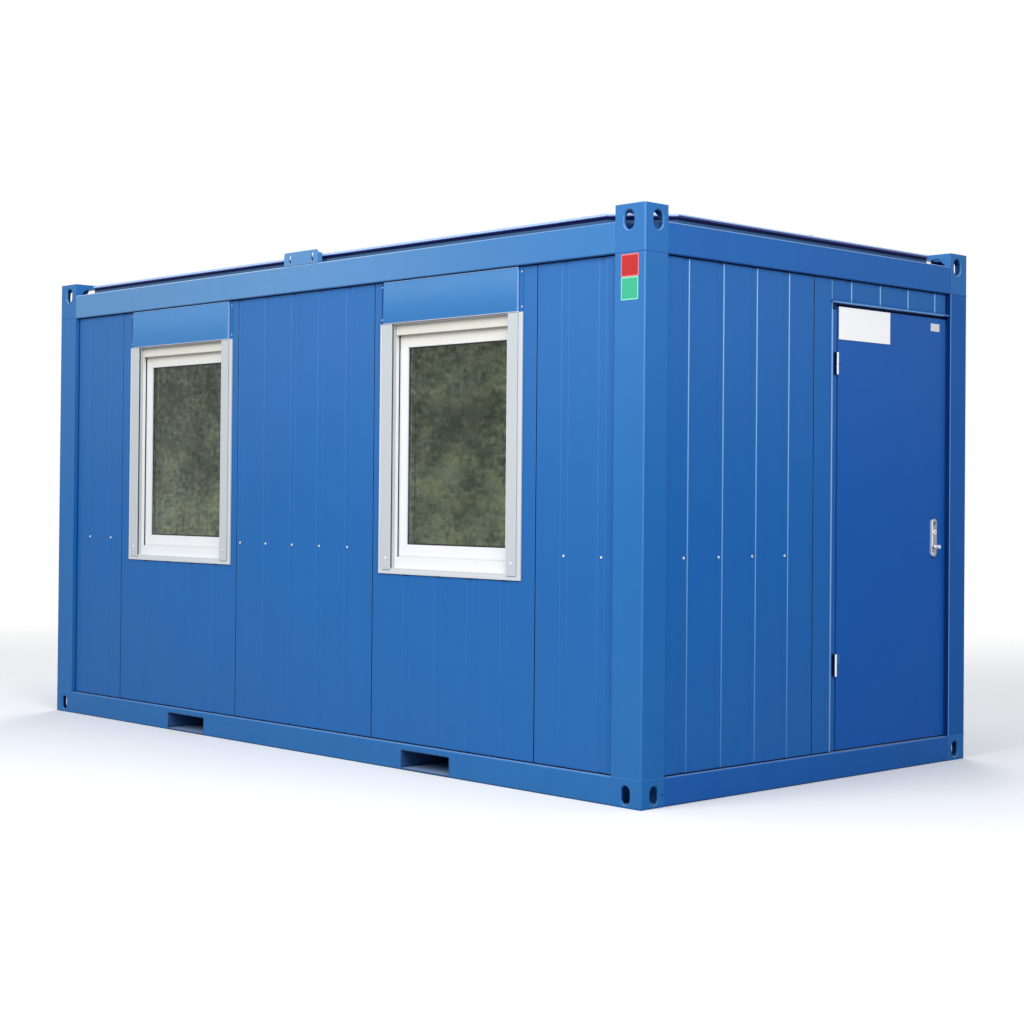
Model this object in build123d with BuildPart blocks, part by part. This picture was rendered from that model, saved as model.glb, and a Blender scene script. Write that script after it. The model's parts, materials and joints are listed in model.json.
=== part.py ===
from build123d import *
import os
from math import ceil, floor

# A steel framed office cabin. The origin is under the middle of the cabin, +X points to the
# door end, the window wall faces -Y and +Z is up. All sizes are in millimetres.

os.makedirs("parts", exist_ok=True)

# ---------------------------------------------------------------- overall size
LENGTH = 4885.0
WIDTH = 2435.0
HEIGHT = 2591.0

# ---------------------------------------------------------------- steel frame
CORNER_X = 176.0  # footprint of blocks and posts along the cabin
CORNER_Y = 147.0  # and across it
CORNER_ROUND = 9.0  # rounding of the outer upright edges
POST_ROUND = 6.0  # and of the posts' other folds
POST_SHEET = 4.0
BOTTOM_HEIGHT = 125.0  # bottom rails and bottom blocks
TOP_BLOCK_HEIGHT = 208.0
TOP_RAIL_HEIGHT = 138.0
RAIL_SHEET = 4.0
RAIL_ROUND = 6.0
BOTTOM_RAIL_FOOT = 60.0  # depth of the bottom rail's lower flange
TOP_RAIL_LIP = 20.0  # depth of the top rail's lower lip

BLOCK_OUTER = 12.0  # plates of the corner blocks
BLOCK_INNER = 8.0
BLOCK_TOP_PLATE = 24.0
BLOCK_HOLE_LENGTH = 110.0  # lifting holes in the level plates
BLOCK_HOLE_WIDTH = 62.0
BOTTOM_SLOT_WIDTH = 52.0
BOTTOM_SLOT_HEIGHT = 82.0
BOTTOM_SLOT_LEVEL = 54.0
BOTTOM_SLOT_FROM_END = 92.5
BOTTOM_SLOT_FROM_SIDE = 85.0
SLOT_CHAMFER = 4.0  # eased rim of the slots in the outer faces
DRAIN_HOLE = 10.0
DRAIN_FROM_SIDE = 135.0
TOP_SLOT_WIDTH = 60.0
TOP_SLOT_HEIGHT = 86.0
TOP_SLOT_FROM_TOP = 68.0
TOP_SLOT_FROM_END = 96.0
TOP_SLOT_FROM_SIDE = 86.0
GUSSET_FOOT = 28.0  # depth of the block's inner gussets at their foot

FORK_SPACING = 2055.0
FORK_WIDTH = 352.0
FORK_HEIGHT = 85.0
FORK_LEVEL = 10.0
FORK_SHEET = 4.0

BRACKET_WIDTH = 290.0  # stacking bracket at mid-length
BRACKET_SHEET = 6.0
BRACKET_RETURN = 28.0
BRACKET_ROUND = 16.0
BRACKET_SLOT_WIDTH = 18.0
BRACKET_SLOT_HEIGHT = 46.0
BRACKET_SLOT_SPACING = 192.0

# ---------------------------------------------------------------- floor, roof and ceiling
UNDERFLOOR_SHEET = 2.0
DECK_THICKNESS = 22.0
JOIST_WIDTH = 45.0
JOIST_SHEET = 3.0
JOIST_PITCH = 390.0
JOIST_CLEARANCE = 20.0  # least gap between a joist and a fork pocket or corner block
ROOF_INSET = 60.0
ROOF_BAND = 37.0  # height of the dark band under the roof sheet's rim
ROOF_BAND_SHEET = 3.0
ROOF_RIM_HEIGHT = 15.0
ROOF_RIM_OVERHANG = 6.0
ROOF_SHEET = 3.0
ROOF_CUT_X = 290.0  # cut corners of the roof, from the outer planes
ROOF_CUT_Y = 275.0
ROOF_SEAM_WIDTH = 24.0
ROOF_SEAM_HEIGHT = 5.0
CEILING_DROP = 42.0  # from the roof tray to the ceiling's lower face
CEILING_THICKNESS = 12.0

# ---------------------------------------------------------------- wall panels
WALL_RECESS = 24.0  # from the outer plane of the frame to the wall's outer face
WALL_THICKNESS = 60.0
PANEL_JOINT = 1.0  # gap between two panels
PANEL_EDGE = 3.0  # chamfer on the panel's outer edges
POST_GROOVE = 12.0  # sealing groove beside a post
POST_GROOVE_DEPTH = 12.0
BAND_WIDTH = 50.0  # pressed bands
BAND_DEPTH = 2.5
BAND_SLOPE = 5.0
HALF_PANEL_WIDTH = 509.5  # the narrow panels of the long walls, beside the posts
MIDDLE_PANEL_EXTRA = 4.0  # the middle panel is this much wider than the two beside it
SIDE_BAND_PITCH = 234.0
END_BAND_PITCH = 232.5
FIRST_BAND = 30.0  # from a joint to the first band's middle
HALF_PANEL_BANDS = {"far": 152.0, "near": 95.0}  # from a post's edge to the first band's middle
NARROW_PANEL = 135.0  # the narrow panel beside the door frame
NARROW_BAND = 25.0
HEAD_BAND = 133.0  # first band over the door, from the frame's edge

# ---------------------------------------------------------------- windows and shutters
WINDOW_SHIFT = 18.5  # from its panel's middle towards mid-length
WINDOW_WIDTH = 945.0
WINDOW_HEIGHT = 1200.0
WINDOW_HEADROOM = 211.0  # from the top rail down to the window's top
WINDOW_DEPTH = 42.0  # from the outer plane to the frame's face
FRAME_FACE = 56.0
FRAME_LIP = 17.0
FRAME_THICKNESS = 60.0
REBATE = 12.0
SASH_DEPTH = 68.0
SASH_FACE = 61.0
SASH_THICKNESS = 50.0
GLASS_DEPTH = 75.0
GLAZING_THICKNESS = 24.0
PANE_THICKNESS = 4.0
GLASS_COVER = 10.0  # hidden edge of the glazing
SPACER_WIDTH = 12.0
SEAL_WIDTH = 7.0
SEAL_INSET = 3.0

GUIDE_INNER = 418.6  # from the window's middle
GUIDE_OUTER = 484.0
GUIDE_FACE_DEPTH = 13.0
GUIDE_FACE = 4.0
GUIDE_GROOVE = 12.0
GUIDE_GROOVE_WIDTH = 10.0
GUIDE_FOOT = 7.0
TRIM_OUTER = 512.5
TRIM_LIP = 14.0
TRIM_THICKNESS = 7.0
TRIM_STEP = 2.0
TRIM_FOOT = 27.0
SILL_SHEET = 2.0

BOX_HEIGHT = 200.0
BOX_DEPTH = 150.0
BOX_WALL = 10.0
ROLL_RADIUS = 50.0
AXLE_RADIUS = 20.0
CURTAIN = 8.0  # thickness of the shutter curtain
CURTAIN_PLAY = 1.0
CURTAIN_HANG = 6.0
COVER_HALF = 484.5
COVER_FLANGE = 25.5
COVER_SHEET = 2.0
COVER_RETURN = 7.0
COVER_TOP_DEPTH = 13.0  # from the outer plane to the cover's face, at its top and its foot
COVER_FOOT_DEPTH = 9.0
COVER_RISE = 206.0

# ---------------------------------------------------------------- door
LEAF_WIDTH = 896.0
LEAF_THICKNESS = 48.0
LEAF_FLOOR_GAP = 6.0
LOCK_GAP = 9.0  # between the leaf and the post
HINGE_GAP = 16.0  # between the leaf and the jamb
HEAD_GAP = 6.0
JAMB_WIDTH = 36.0
LOCK_JAMB = 2.0
JAMB_BEAD = 9.0  # raised bead along the jamb's outer edge
JAMB_BEAD_HEIGHT = 4.0
STOP_GAP = 5.0
STOP_THICKNESS = 7.0
STOP_COVER = 17.0  # overlap of the leaf and its stop
HEAD_BAR = 20.0
DOOR_HEADROOM = 104.0  # from the top rail down to the door frame
DRIP_HEIGHT = 13.0
DRIP_REACH = 20.0
HINGE_RADIUS = 10.0
HINGE_DEPTH = 13.0
HINGE_FROM_JAMB = 10.0
HINGE_HEIGHT = 105.0
HINGE_FROM_BASE = 407.5  # hinge middles, from the leaf's lower and upper edges
HINGE_FROM_TOP = 276.5
HINGE_STRAP = 5.0
HINGE_STRAP_GAP = 1.0
HINGE_STRAP_REACH = 20.0
HINGE_PLATE_REACH = 15.0
KNUCKLE_GAP = 0.3

LOCK_FROM_EDGE = 106.0  # from the leaf's free edge to the lock's middle
PLATE_WIDTH = 44.0
PLATE_HEIGHT = 192.0
PLATE_THICKNESS = 12.0
PLATE_MIDDLE = 1138.0
INNER_PLATE_THICKNESS = 8.0
LEVER_LEVEL = 1092.0
SPINDLE_RADIUS = 6.0
SPINDLE_PLAY = 1.0
KNOB_RADIUS = 9.0
KNOB_LENGTH = 33.0
LEVER_NECK = 40.0
LEVER_REACH = 118.0
LEVER_RADIUS = 8.5
CYLINDER_LEVEL = 1166.0
CYLINDER_RADIUS = 13.0
CYLINDER_HEIGHT = 5.0
KEYWAY_RADIUS = 4.5
KEYWAY_DEPTH = 3.0

SIGN_WIDTH = 412.0
SIGN_HEIGHT = 156.0
SIGN_FROM_TOP = 3.0
SIGN_FROM_HINGE_EDGE = 3.0
SMALL_SIGN_WIDTH = 75.0
SMALL_SIGN_HEIGHT = 39.0
SMALL_SIGN_FROM_TOP = 30.0
SMALL_SIGN_FROM_LOCK_EDGE = 57.0
SIGN_THICKNESS = 2.0

# ---------------------------------------------------------------- derived places
END = LENGTH / 2
SIDE = WIDTH / 2
WALL_INNER = WALL_RECESS + WALL_THICKNESS
FLOOR = BOTTOM_HEIGHT
BLOCK_BASE = HEIGHT - TOP_BLOCK_HEIGHT
TOP_SLOT_LEVEL = HEIGHT - TOP_SLOT_FROM_TOP
RAIL_TOP = BLOCK_BASE + TOP_RAIL_HEIGHT
WALL_TOP = RAIL_TOP - RAIL_SHEET
DECK_BASE = FLOOR - DECK_THICKNESS
CEILING_LEVEL = WALL_TOP - CEILING_DROP
UNDERFLOOR_TOP = RAIL_SHEET + UNDERFLOOR_SHEET
RAIL_HALF_X = END - CORNER_X
RAIL_HALF_Y = SIDE - CORNER_Y

SIDE_SEAM_OUTER = RAIL_HALF_X - HALF_PANEL_WIDTH
SIDE_SEAM_INNER = (SIDE_SEAM_OUTER + MIDDLE_PANEL_EXTRA) / 3
WINDOW_X = (SIDE_SEAM_INNER + SIDE_SEAM_OUTER) / 2 - WINDOW_SHIFT
WINDOW_TOP = BLOCK_BASE - WINDOW_HEADROOM
WINDOW_SILL = WINDOW_TOP - WINDOW_HEIGHT
WINDOW_MIDDLE = WINDOW_SILL + WINDOW_HEIGHT / 2
WINDOW_HALF = WINDOW_WIDTH / 2
WINDOW_CENTRES = ((-WINDOW_X, WINDOW_MIDDLE), (WINDOW_X, WINDOW_MIDDLE))
OPEN_WIDTH = WINDOW_WIDTH - 2 * FRAME_FACE
OPEN_HEIGHT = WINDOW_HEIGHT - 2 * FRAME_FACE
REBATE_WIDTH = OPEN_WIDTH + 2 * REBATE
REBATE_HEIGHT = OPEN_HEIGHT + 2 * REBATE
SIGHT_WIDTH = OPEN_WIDTH - 2 * SASH_FACE
SIGHT_HEIGHT = OPEN_HEIGHT - 2 * SASH_FACE
PANE_WIDTH = SIGHT_WIDTH + 2 * GLASS_COVER
PANE_HEIGHT = SIGHT_HEIGHT + 2 * GLASS_COVER
BOX_TOP = WINDOW_TOP + BOX_HEIGHT

LEAF_LOCK_EDGE = RAIL_HALF_Y - LOCK_GAP
LEAF_HINGE_EDGE = LEAF_LOCK_EDGE - LEAF_WIDTH
JAMB_INNER = LEAF_HINGE_EDGE - HINGE_GAP
JAMB_OUTER = JAMB_INNER - JAMB_WIDTH
LEAF_BASE = FLOOR + LEAF_FLOOR_GAP
FRAME_TOP = BLOCK_BASE - DOOR_HEADROOM
DOOR_HEAD = FRAME_TOP - HEAD_BAR
LEAF_TOP = DOOR_HEAD - HEAD_GAP
HINGE_LEVELS = (LEAF_BASE + HINGE_FROM_BASE, LEAF_TOP - HINGE_FROM_TOP)
SIGN_TOP = LEAF_TOP - SIGN_FROM_TOP
SMALL_SIGN_TOP = LEAF_TOP - SMALL_SIGN_FROM_TOP
STOP_DEPTH = WALL_RECESS + LEAF_THICKNESS + STOP_GAP
HINGE_Y = JAMB_INNER - HINGE_FROM_JAMB
LOCK_Y = LEAF_LOCK_EDGE - LOCK_FROM_EDGE
LEAF_BACK = WALL_RECESS + LEAF_THICKNESS

CORNERS = {
    "front_door": (1, -1),
    "front_far": (-1, -1),
    "back_door": (1, 1),
    "back_far": (-1, 1),
}

# The four sides as elevations: x along the side, y up, z out of the cabin.
FACE = {
    "front": Plane(origin=(0, -SIDE, 0), x_dir=(1, 0, 0), z_dir=(0, -1, 0)),
    "back": Plane(origin=(0, SIDE, 0), x_dir=(-1, 0, 0), z_dir=(0, 1, 0)),
    "door_end": Plane(origin=(END, 0, 0), x_dir=(0, 1, 0), z_dir=(1, 0, 0)),
    "far_end": Plane(origin=(-END, 0, 0), x_dir=(0, -1, 0), z_dir=(-1, 0, 0)),
}
# The same sides as level sections: x along the side, y into the cabin, z up.
PLAN = {name: Plane(f.origin, x_dir=f.x_dir, z_dir=(0, 0, 1)) for name, f in FACE.items()}
# And as cross-sections: x into the cabin, y up, z along the side.
CROSS = {name: Plane(f.origin, x_dir=-f.z_dir, z_dir=f.x_dir) for name, f in FACE.items()}
HALF = {"front": RAIL_HALF_X, "back": RAIL_HALF_X, "door_end": RAIL_HALF_Y, "far_end": RAIL_HALF_Y}


def save(builder, name):
    """Label a finished piece and write it."""
    builder.part.label = name
    export_step(builder.part, f"parts/{name}.step")


def span_box(x, y, z, mode=Mode.ADD):
    """A box between two limits along each axis."""
    with Locations(((x[0] + x[1]) / 2, (y[0] + y[1]) / 2, (z[0] + z[1]) / 2)):
        Box(abs(x[1] - x[0]), abs(y[1] - y[0]), abs(z[1] - z[0]), mode=mode)


def rectangle(x, y, mode=Mode.ADD):
    """A rectangle between two limits along each axis of the sketch."""
    with Locations(((x[0] + x[1]) / 2, (y[0] + y[1]) / 2)):
        Rectangle(abs(x[1] - x[0]), abs(y[1] - y[0]), mode=mode)


# ================================================================ frame: bottom rails
# A folded channel on each side, open inwards. Its upper flange is the ledge that carries the
# wall panels. The long rails are cut for the fork pockets.
FORK_TUBE_WIDTH = FORK_WIDTH + 2 * FORK_SHEET
FORK_TUBE_BASE = FORK_LEVEL - FORK_SHEET
FORK_TUBE_TOP = FORK_LEVEL + FORK_HEIGHT + FORK_SHEET
FORK_CENTRES = (-FORK_SPACING / 2, FORK_SPACING / 2)
for side_name in FACE:
    rail_half = HALF[side_name]
    with BuildPart() as bottom_rail:
        with BuildSketch(CROSS[side_name].offset(-rail_half)) as channel:
            rectangle((0, RAIL_SHEET), (0, BOTTOM_HEIGHT))
            rectangle((0, WALL_INNER), (BOTTOM_HEIGHT - RAIL_SHEET, BOTTOM_HEIGHT))
            rectangle((0, BOTTOM_RAIL_FOOT), (0, RAIL_SHEET))
            fillet(channel.vertices().group_by(Axis.X)[0], RAIL_ROUND)
        extrude(amount=2 * rail_half)
        if side_name in ("front", "back"):
            with BuildSketch(FACE[side_name]):
                for fork_x in FORK_CENTRES:
                    rectangle(
                        (fork_x - FORK_TUBE_WIDTH / 2, fork_x + FORK_TUBE_WIDTH / 2),
                        (FORK_TUBE_BASE, FORK_TUBE_TOP),
                    )
            extrude(amount=-RAIL_SHEET, mode=Mode.SUBTRACT)
    save(bottom_rail, f"bottom_rail_{side_name}")

# ================================================================ frame: bottom corner blocks
# Hollow welded blocks with an eased slot in each outer face, a lifting hole in the bottom plate
# and a small drain hole beside the end slot.
def ease_rim(block, axis, outward):
    """Chamfer the outer rim of the slot that was cut last."""
    rims = block.edges(Select.LAST).group_by(axis)
    chamfer(rims[-1] if outward > 0 else rims[0], SLOT_CHAMFER)


for corner_name, (sx, sy) in CORNERS.items():
    out_x, out_y = sx * END, sy * SIDE
    in_x, in_y = sx * (END - CORNER_X), sy * (SIDE - CORNER_Y)
    with BuildPart() as bottom_corner:
        span_box((in_x, out_x), (in_y, out_y), (0, BOTTOM_HEIGHT))
        upright = bottom_corner.edges().filter_by(Axis.Z)
        fillet(upright.sort_by(lambda e: (e @ 0).X * sx + (e @ 0).Y * sy)[-1], CORNER_ROUND)
        span_box(
            (in_x + sx * BLOCK_INNER, out_x - sx * BLOCK_OUTER),
            (in_y + sy * BLOCK_INNER, out_y - sy * BLOCK_OUTER),
            (BLOCK_OUTER, BOTTOM_HEIGHT - BLOCK_OUTER),
            Mode.SUBTRACT,
        )
        slot_x = out_x - sx * BOTTOM_SLOT_FROM_END
        slot_y = out_y - sy * BOTTOM_SLOT_FROM_SIDE
        with BuildSketch(Plane.XZ.offset(-out_y)):
            with Locations((slot_x, BOTTOM_SLOT_LEVEL)):
                SlotOverall(BOTTOM_SLOT_HEIGHT, BOTTOM_SLOT_WIDTH, rotation=90)
        extrude(amount=sy * BLOCK_OUTER, mode=Mode.SUBTRACT)
        ease_rim(bottom_corner, Axis.Y, sy)
        with BuildSketch(Plane.YZ.offset(out_x)):
            with Locations((slot_y, BOTTOM_SLOT_LEVEL)):
                SlotOverall(BOTTOM_SLOT_HEIGHT, BOTTOM_SLOT_WIDTH, rotation=90)
        extrude(amount=-sx * BLOCK_OUTER, mode=Mode.SUBTRACT)
        ease_rim(bottom_corner, Axis.X, sx)
        with BuildSketch(Plane.YZ.offset(out_x)):
            with Locations((out_y - sy * DRAIN_FROM_SIDE, BOTTOM_SLOT_LEVEL)):
                Circle(DRAIN_HOLE / 2)
        extrude(amount=-sx * BLOCK_OUTER, mode=Mode.SUBTRACT)
        with BuildSketch(Plane.XY):
            with Locations((slot_x, slot_y)):
                SlotOverall(BLOCK_HOLE_LENGTH, BLOCK_HOLE_WIDTH)
        extrude(amount=BLOCK_OUTER, mode=Mode.SUBTRACT)
    save(bottom_corner, f"bottom_corner_{corner_name}")

# ================================================================ frame: corner posts
# Hollow folded posts between the bottom and the top blocks.
with BuildPart() as corner_posts:
    for sx, sy in CORNERS.values():
        out_x, out_y = sx * END, sy * SIDE
        in_x, in_y = sx * (END - CORNER_X), sy * (SIDE - CORNER_Y)
        with BuildSketch(Plane.XY.offset(BOTTOM_HEIGHT)) as post:
            rectangle((in_x, out_x), (in_y, out_y))
            folds = post.vertices().sort_by(lambda v: v.X * sx + v.Y * sy)
            fillet(folds[-1], CORNER_ROUND)
            fillet(folds[:-1], POST_ROUND)
            offset(amount=-POST_SHEET, mode=Mode.SUBTRACT)
        extrude(amount=BLOCK_BASE - BOTTOM_HEIGHT)
save(corner_posts, "corner_posts")

# ================================================================ frame: top corner blocks
# Two outer plates with eased slots, a thick top plate with a lifting hole, and inner walls up to the
# rail's top. Above those a sloped gusset stiffens each open inner side.
PLATE_BASE = HEIGHT - BLOCK_TOP_PLATE
GUSSET_HEAD = GUSSET_FOOT + PLATE_BASE - RAIL_TOP
for corner_name, (sx, sy) in CORNERS.items():
    out_x, out_y = sx * END, sy * SIDE
    in_x, in_y = sx * (END - CORNER_X), sy * (SIDE - CORNER_Y)
    inner_x = (in_x + sx * BLOCK_INNER, out_x - sx * BLOCK_OUTER)
    inner_y = (in_y + sy * BLOCK_INNER, out_y - sy * BLOCK_OUTER)
    with BuildPart() as top_corner:
        span_box((in_x, out_x), (in_y, out_y), (BLOCK_BASE, HEIGHT))
        upright = top_corner.edges().filter_by(Axis.Z)
        fillet(upright.sort_by(lambda e: (e @ 0).X * sx + (e @ 0).Y * sy)[-1], CORNER_ROUND)
        span_box(inner_x, inner_y, (BLOCK_BASE + BLOCK_INNER, PLATE_BASE), Mode.SUBTRACT)
        span_box(
            (in_x, inner_x[1]), (in_y, inner_y[0]), (RAIL_TOP, PLATE_BASE), Mode.SUBTRACT
        )
        span_box(
            (in_x, inner_x[0]), (in_y, inner_y[1]), (RAIL_TOP, PLATE_BASE), Mode.SUBTRACT
        )
        with BuildSketch(Plane.YZ.offset(in_x)):
            with BuildLine():
                Polyline(
                    (out_y - sy * BLOCK_OUTER, RAIL_TOP),
                    (out_y - sy * GUSSET_FOOT, RAIL_TOP),
                    (out_y - sy * GUSSET_HEAD, PLATE_BASE),
                    (out_y - sy * BLOCK_OUTER, PLATE_BASE),
                    close=True,
                )
            make_face()
        extrude(amount=sx * BLOCK_INNER)
        with BuildSketch(Plane.XZ.offset(-in_y)):
            with BuildLine():
                Polyline(
                    (out_x - sx * BLOCK_OUTER, RAIL_TOP),
                    (out_x - sx * GUSSET_FOOT, RAIL_TOP),
                    (out_x - sx * GUSSET_HEAD, PLATE_BASE),
                    (out_x - sx * BLOCK_OUTER, PLATE_BASE),
                    close=True,
                )
            make_face()
        extrude(amount=-sy * BLOCK_INNER)
        slot_x = out_x - sx * TOP_SLOT_FROM_END
        slot_y = out_y - sy * TOP_SLOT_FROM_SIDE
        with BuildSketch(Plane.XZ.offset(-out_y)):
            with Locations((slot_x, TOP_SLOT_LEVEL)):
                SlotOverall(TOP_SLOT_HEIGHT, TOP_SLOT_WIDTH, rotation=90)
        extrude(amount=sy * BLOCK_OUTER, mode=Mode.SUBTRACT)
        ease_rim(top_corner, Axis.Y, sy)
        with BuildSketch(Plane.YZ.offset(out_x)):
            with Locations((slot_y, TOP_SLOT_LEVEL)):
                SlotOverall(TOP_SLOT_HEIGHT, TOP_SLOT_WIDTH, rotation=90)
        extrude(amount=-sx * BLOCK_OUTER, mode=Mode.SUBTRACT)
        ease_rim(top_corner, Axis.X, sx)
        with BuildSketch(Plane.XY.offset(HEIGHT)):
            with Locations((slot_x, slot_y)):
                SlotOverall(BLOCK_HOLE_LENGTH, BLOCK_HOLE_WIDTH)
        extrude(amount=-BLOCK_TOP_PLATE, mode=Mode.SUBTRACT)
    save(top_corner, f"top_corner_{corner_name}")

# ================================================================ frame: top rails
# A web in the outer plane, a short lower lip and an upper flange over the wall panels.
for side_name in FACE:
    rail_half = HALF[side_name]
    with BuildPart() as top_rail:
        with BuildSketch(CROSS[side_name].offset(-rail_half)) as rail_section:
            rectangle((0, RAIL_SHEET), (BLOCK_BASE, RAIL_TOP))
            rectangle((0, TOP_RAIL_LIP), (BLOCK_BASE, BLOCK_BASE + RAIL_SHEET))
            rectangle((0, WALL_INNER), (WALL_TOP, RAIL_TOP))
            fillet(rail_section.vertices().group_by(Axis.X)[0], RAIL_ROUND)
        extrude(amount=2 * rail_half)
    save(top_rail, f"top_rail_{side_name}")

# ================================================================ frame: stacking brackets
# A slotted plate with rounded shoulders and two end returns, on each long rail at mid-length.
with BuildPart() as stacking_brackets:
    for side_name in ("front", "back"):
        with BuildSketch(FACE[side_name]) as plate:
            rectangle((-BRACKET_WIDTH / 2, BRACKET_WIDTH / 2), (RAIL_TOP, HEIGHT))
            fillet(plate.vertices().group_by(Axis.Y)[-1], BRACKET_ROUND)
            with Locations((0, (RAIL_TOP + HEIGHT) / 2)):
                with GridLocations(BRACKET_SLOT_SPACING, 1, 2, 1):
                    SlotOverall(
                        BRACKET_SLOT_HEIGHT, BRACKET_SLOT_WIDTH, rotation=90, mode=Mode.SUBTRACT
                    )
        extrude(amount=-BRACKET_SHEET)
        with BuildSketch(FACE[side_name].offset(-BRACKET_SHEET)):
            for end_x in (-BRACKET_WIDTH / 2, BRACKET_WIDTH / 2 - BRACKET_SHEET):
                rectangle((end_x, end_x + BRACKET_SHEET), (RAIL_TOP, HEIGHT - BRACKET_ROUND))
        extrude(amount=BRACKET_SHEET - BRACKET_RETURN)
save(stacking_brackets, "stacking_brackets")

# ================================================================ floor
# Two fork pockets run right through between the long rails.
with BuildPart() as fork_pocket_tubes:
    for fork_x in FORK_CENTRES:
        span_box(
            (fork_x - FORK_TUBE_WIDTH / 2, fork_x + FORK_TUBE_WIDTH / 2),
            (-SIDE, SIDE),
            (FORK_TUBE_BASE, FORK_TUBE_TOP),
        )
        span_box(
            (fork_x - FORK_WIDTH / 2, fork_x + FORK_WIDTH / 2),
            (-SIDE, SIDE),
            (FORK_LEVEL, FORK_LEVEL + FORK_HEIGHT),
            Mode.SUBTRACT,
        )
save(fork_pocket_tubes, "fork_pocket_tubes")


def level_sheet(inset):
    """The cabin's plan, inset from the outer planes and notched round the four corners."""
    rectangle((inset - END, END - inset), (inset - SIDE, SIDE - inset))
    for sx, sy in CORNERS.values():
        rectangle(
            (sx * (END - CORNER_X), sx * END), (sy * (SIDE - CORNER_Y), sy * SIDE), Mode.SUBTRACT
        )


with BuildPart() as underfloor_sheet:
    with BuildSketch(Plane.XY.offset(RAIL_SHEET)):
        level_sheet(RAIL_SHEET)
    extrude(amount=UNDERFLOOR_SHEET)
save(underfloor_sheet, "underfloor_sheet")

# Folded joists between the long rails, clear of the pockets and the corner blocks.
joist_room = FORK_TUBE_WIDTH / 2 + JOIST_CLEARANCE + JOIST_WIDTH / 2
joist_limit = RAIL_HALF_X - JOIST_CLEARANCE - JOIST_WIDTH / 2
joist_count = int(joist_limit // JOIST_PITCH)
joist_places = []
for step in range(-joist_count, joist_count + 1):
    place = step * JOIST_PITCH
    for fork_x in FORK_CENTRES:
        if abs(place - fork_x) < joist_room:
            place = fork_x + joist_room * (1 if place >= fork_x else -1)
    joist_places.append(place)
with BuildPart() as floor_joists:
    for place in joist_places:
        left, right = place - JOIST_WIDTH / 2, place + JOIST_WIDTH / 2
        with BuildSketch(Plane.XZ.offset(SIDE - RAIL_SHEET)):
            rectangle((left, right), (UNDERFLOOR_TOP, DECK_BASE))
            rectangle(
                (left + JOIST_SHEET, right),
                (UNDERFLOOR_TOP + JOIST_SHEET, DECK_BASE - JOIST_SHEET),
                Mode.SUBTRACT,
            )
        extrude(amount=-2 * (SIDE - RAIL_SHEET))
save(floor_joists, "floor_joists")

with BuildPart() as floor_deck:
    with BuildSketch(Plane.XY.offset(DECK_BASE)):
        level_sheet(WALL_INNER)
    extrude(amount=DECK_THICKNESS)
save(floor_deck, "floor_deck")

# ================================================================ roof and ceiling
# A level tray closes the frame between the top rails. The roof sheet stands over it on a
# low band, with its corners cut off beside the corner blocks.
with BuildPart() as roof_tray:
    with BuildSketch(Plane.XY.offset(WALL_TOP)):
        level_sheet(WALL_INNER)
    extrude(amount=RAIL_SHEET)
save(roof_tray, "roof_tray")


def roof_outline():
    """Corner points of the roof band, with the four corners cut."""
    half_x, half_y = END - ROOF_INSET, SIDE - ROOF_INSET
    cut_x, cut_y = END - ROOF_CUT_X, SIDE - ROOF_CUT_Y
    quarter = [(half_x, cut_y), (cut_x, half_y)]
    second = [(-x, y) for x, y in reversed(quarter)]
    lower = [(x, -y) for x, y in reversed(quarter + second)]
    return quarter + second + lower


RIM_BASE = RAIL_TOP + ROOF_BAND
RIM_TOP = RIM_BASE + ROOF_RIM_HEIGHT
SHEET_BASE = RIM_TOP - ROOF_SHEET
with BuildPart() as roof_edge_band:
    with BuildSketch(Plane.XY.offset(RAIL_TOP)):
        with BuildLine():
            Polyline(*roof_outline(), close=True)
        make_face()
        offset(amount=-ROOF_BAND_SHEET, kind=Kind.INTERSECTION, mode=Mode.SUBTRACT)
    extrude(amount=SHEET_BASE - RAIL_TOP)
save(roof_edge_band, "roof_edge_band")

with BuildPart() as roof_sheet:
    with BuildSketch(Plane.XY.offset(RIM_BASE)) as rim:
        with BuildLine():
            Polyline(*roof_outline(), close=True)
        make_face()
        offset(amount=ROOF_RIM_OVERHANG, kind=Kind.INTERSECTION)
        with BuildLine(mode=Mode.PRIVATE) as band_line:
            Polyline(*roof_outline(), close=True)
        make_face(band_line.edges(), mode=Mode.SUBTRACT)
    extrude(amount=ROOF_RIM_HEIGHT - ROOF_SHEET)
    with BuildSketch(Plane.XY.offset(SHEET_BASE)):
        with BuildLine():
            Polyline(*roof_outline(), close=True)
        make_face()
        offset(amount=ROOF_RIM_OVERHANG, kind=Kind.INTERSECTION)
    extrude(amount=ROOF_SHEET)
    with BuildSketch(Plane.XY.offset(RIM_TOP)):
        Rectangle(2 * (END - ROOF_INSET), ROOF_SEAM_WIDTH)
    extrude(amount=ROOF_SEAM_HEIGHT)
save(roof_sheet, "roof_sheet")

with BuildPart() as ceiling_panel:
    with BuildSketch(Plane.XY.offset(CEILING_LEVEL)):
        level_sheet(WALL_INNER)
    extrude(amount=CEILING_THICKNESS)
save(ceiling_panel, "ceiling_panel")


# ================================================================ wall panels
# Sandwich panels that stand on the ledge of the bottom rails. Shallow pressed bands run up
# their outer faces, and a sealing groove is left beside each post.
def bands_on(first, pitch, start, end):
    """Middles of the bands that lie whole on a panel."""
    margin = BAND_WIDTH / 2 + PANEL_EDGE
    lowest_step = ceil((start + margin - first) / pitch)
    highest_step = floor((end - margin - first) / pitch)
    return [first + step * pitch for step in range(lowest_step, highest_step + 1)]


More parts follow.
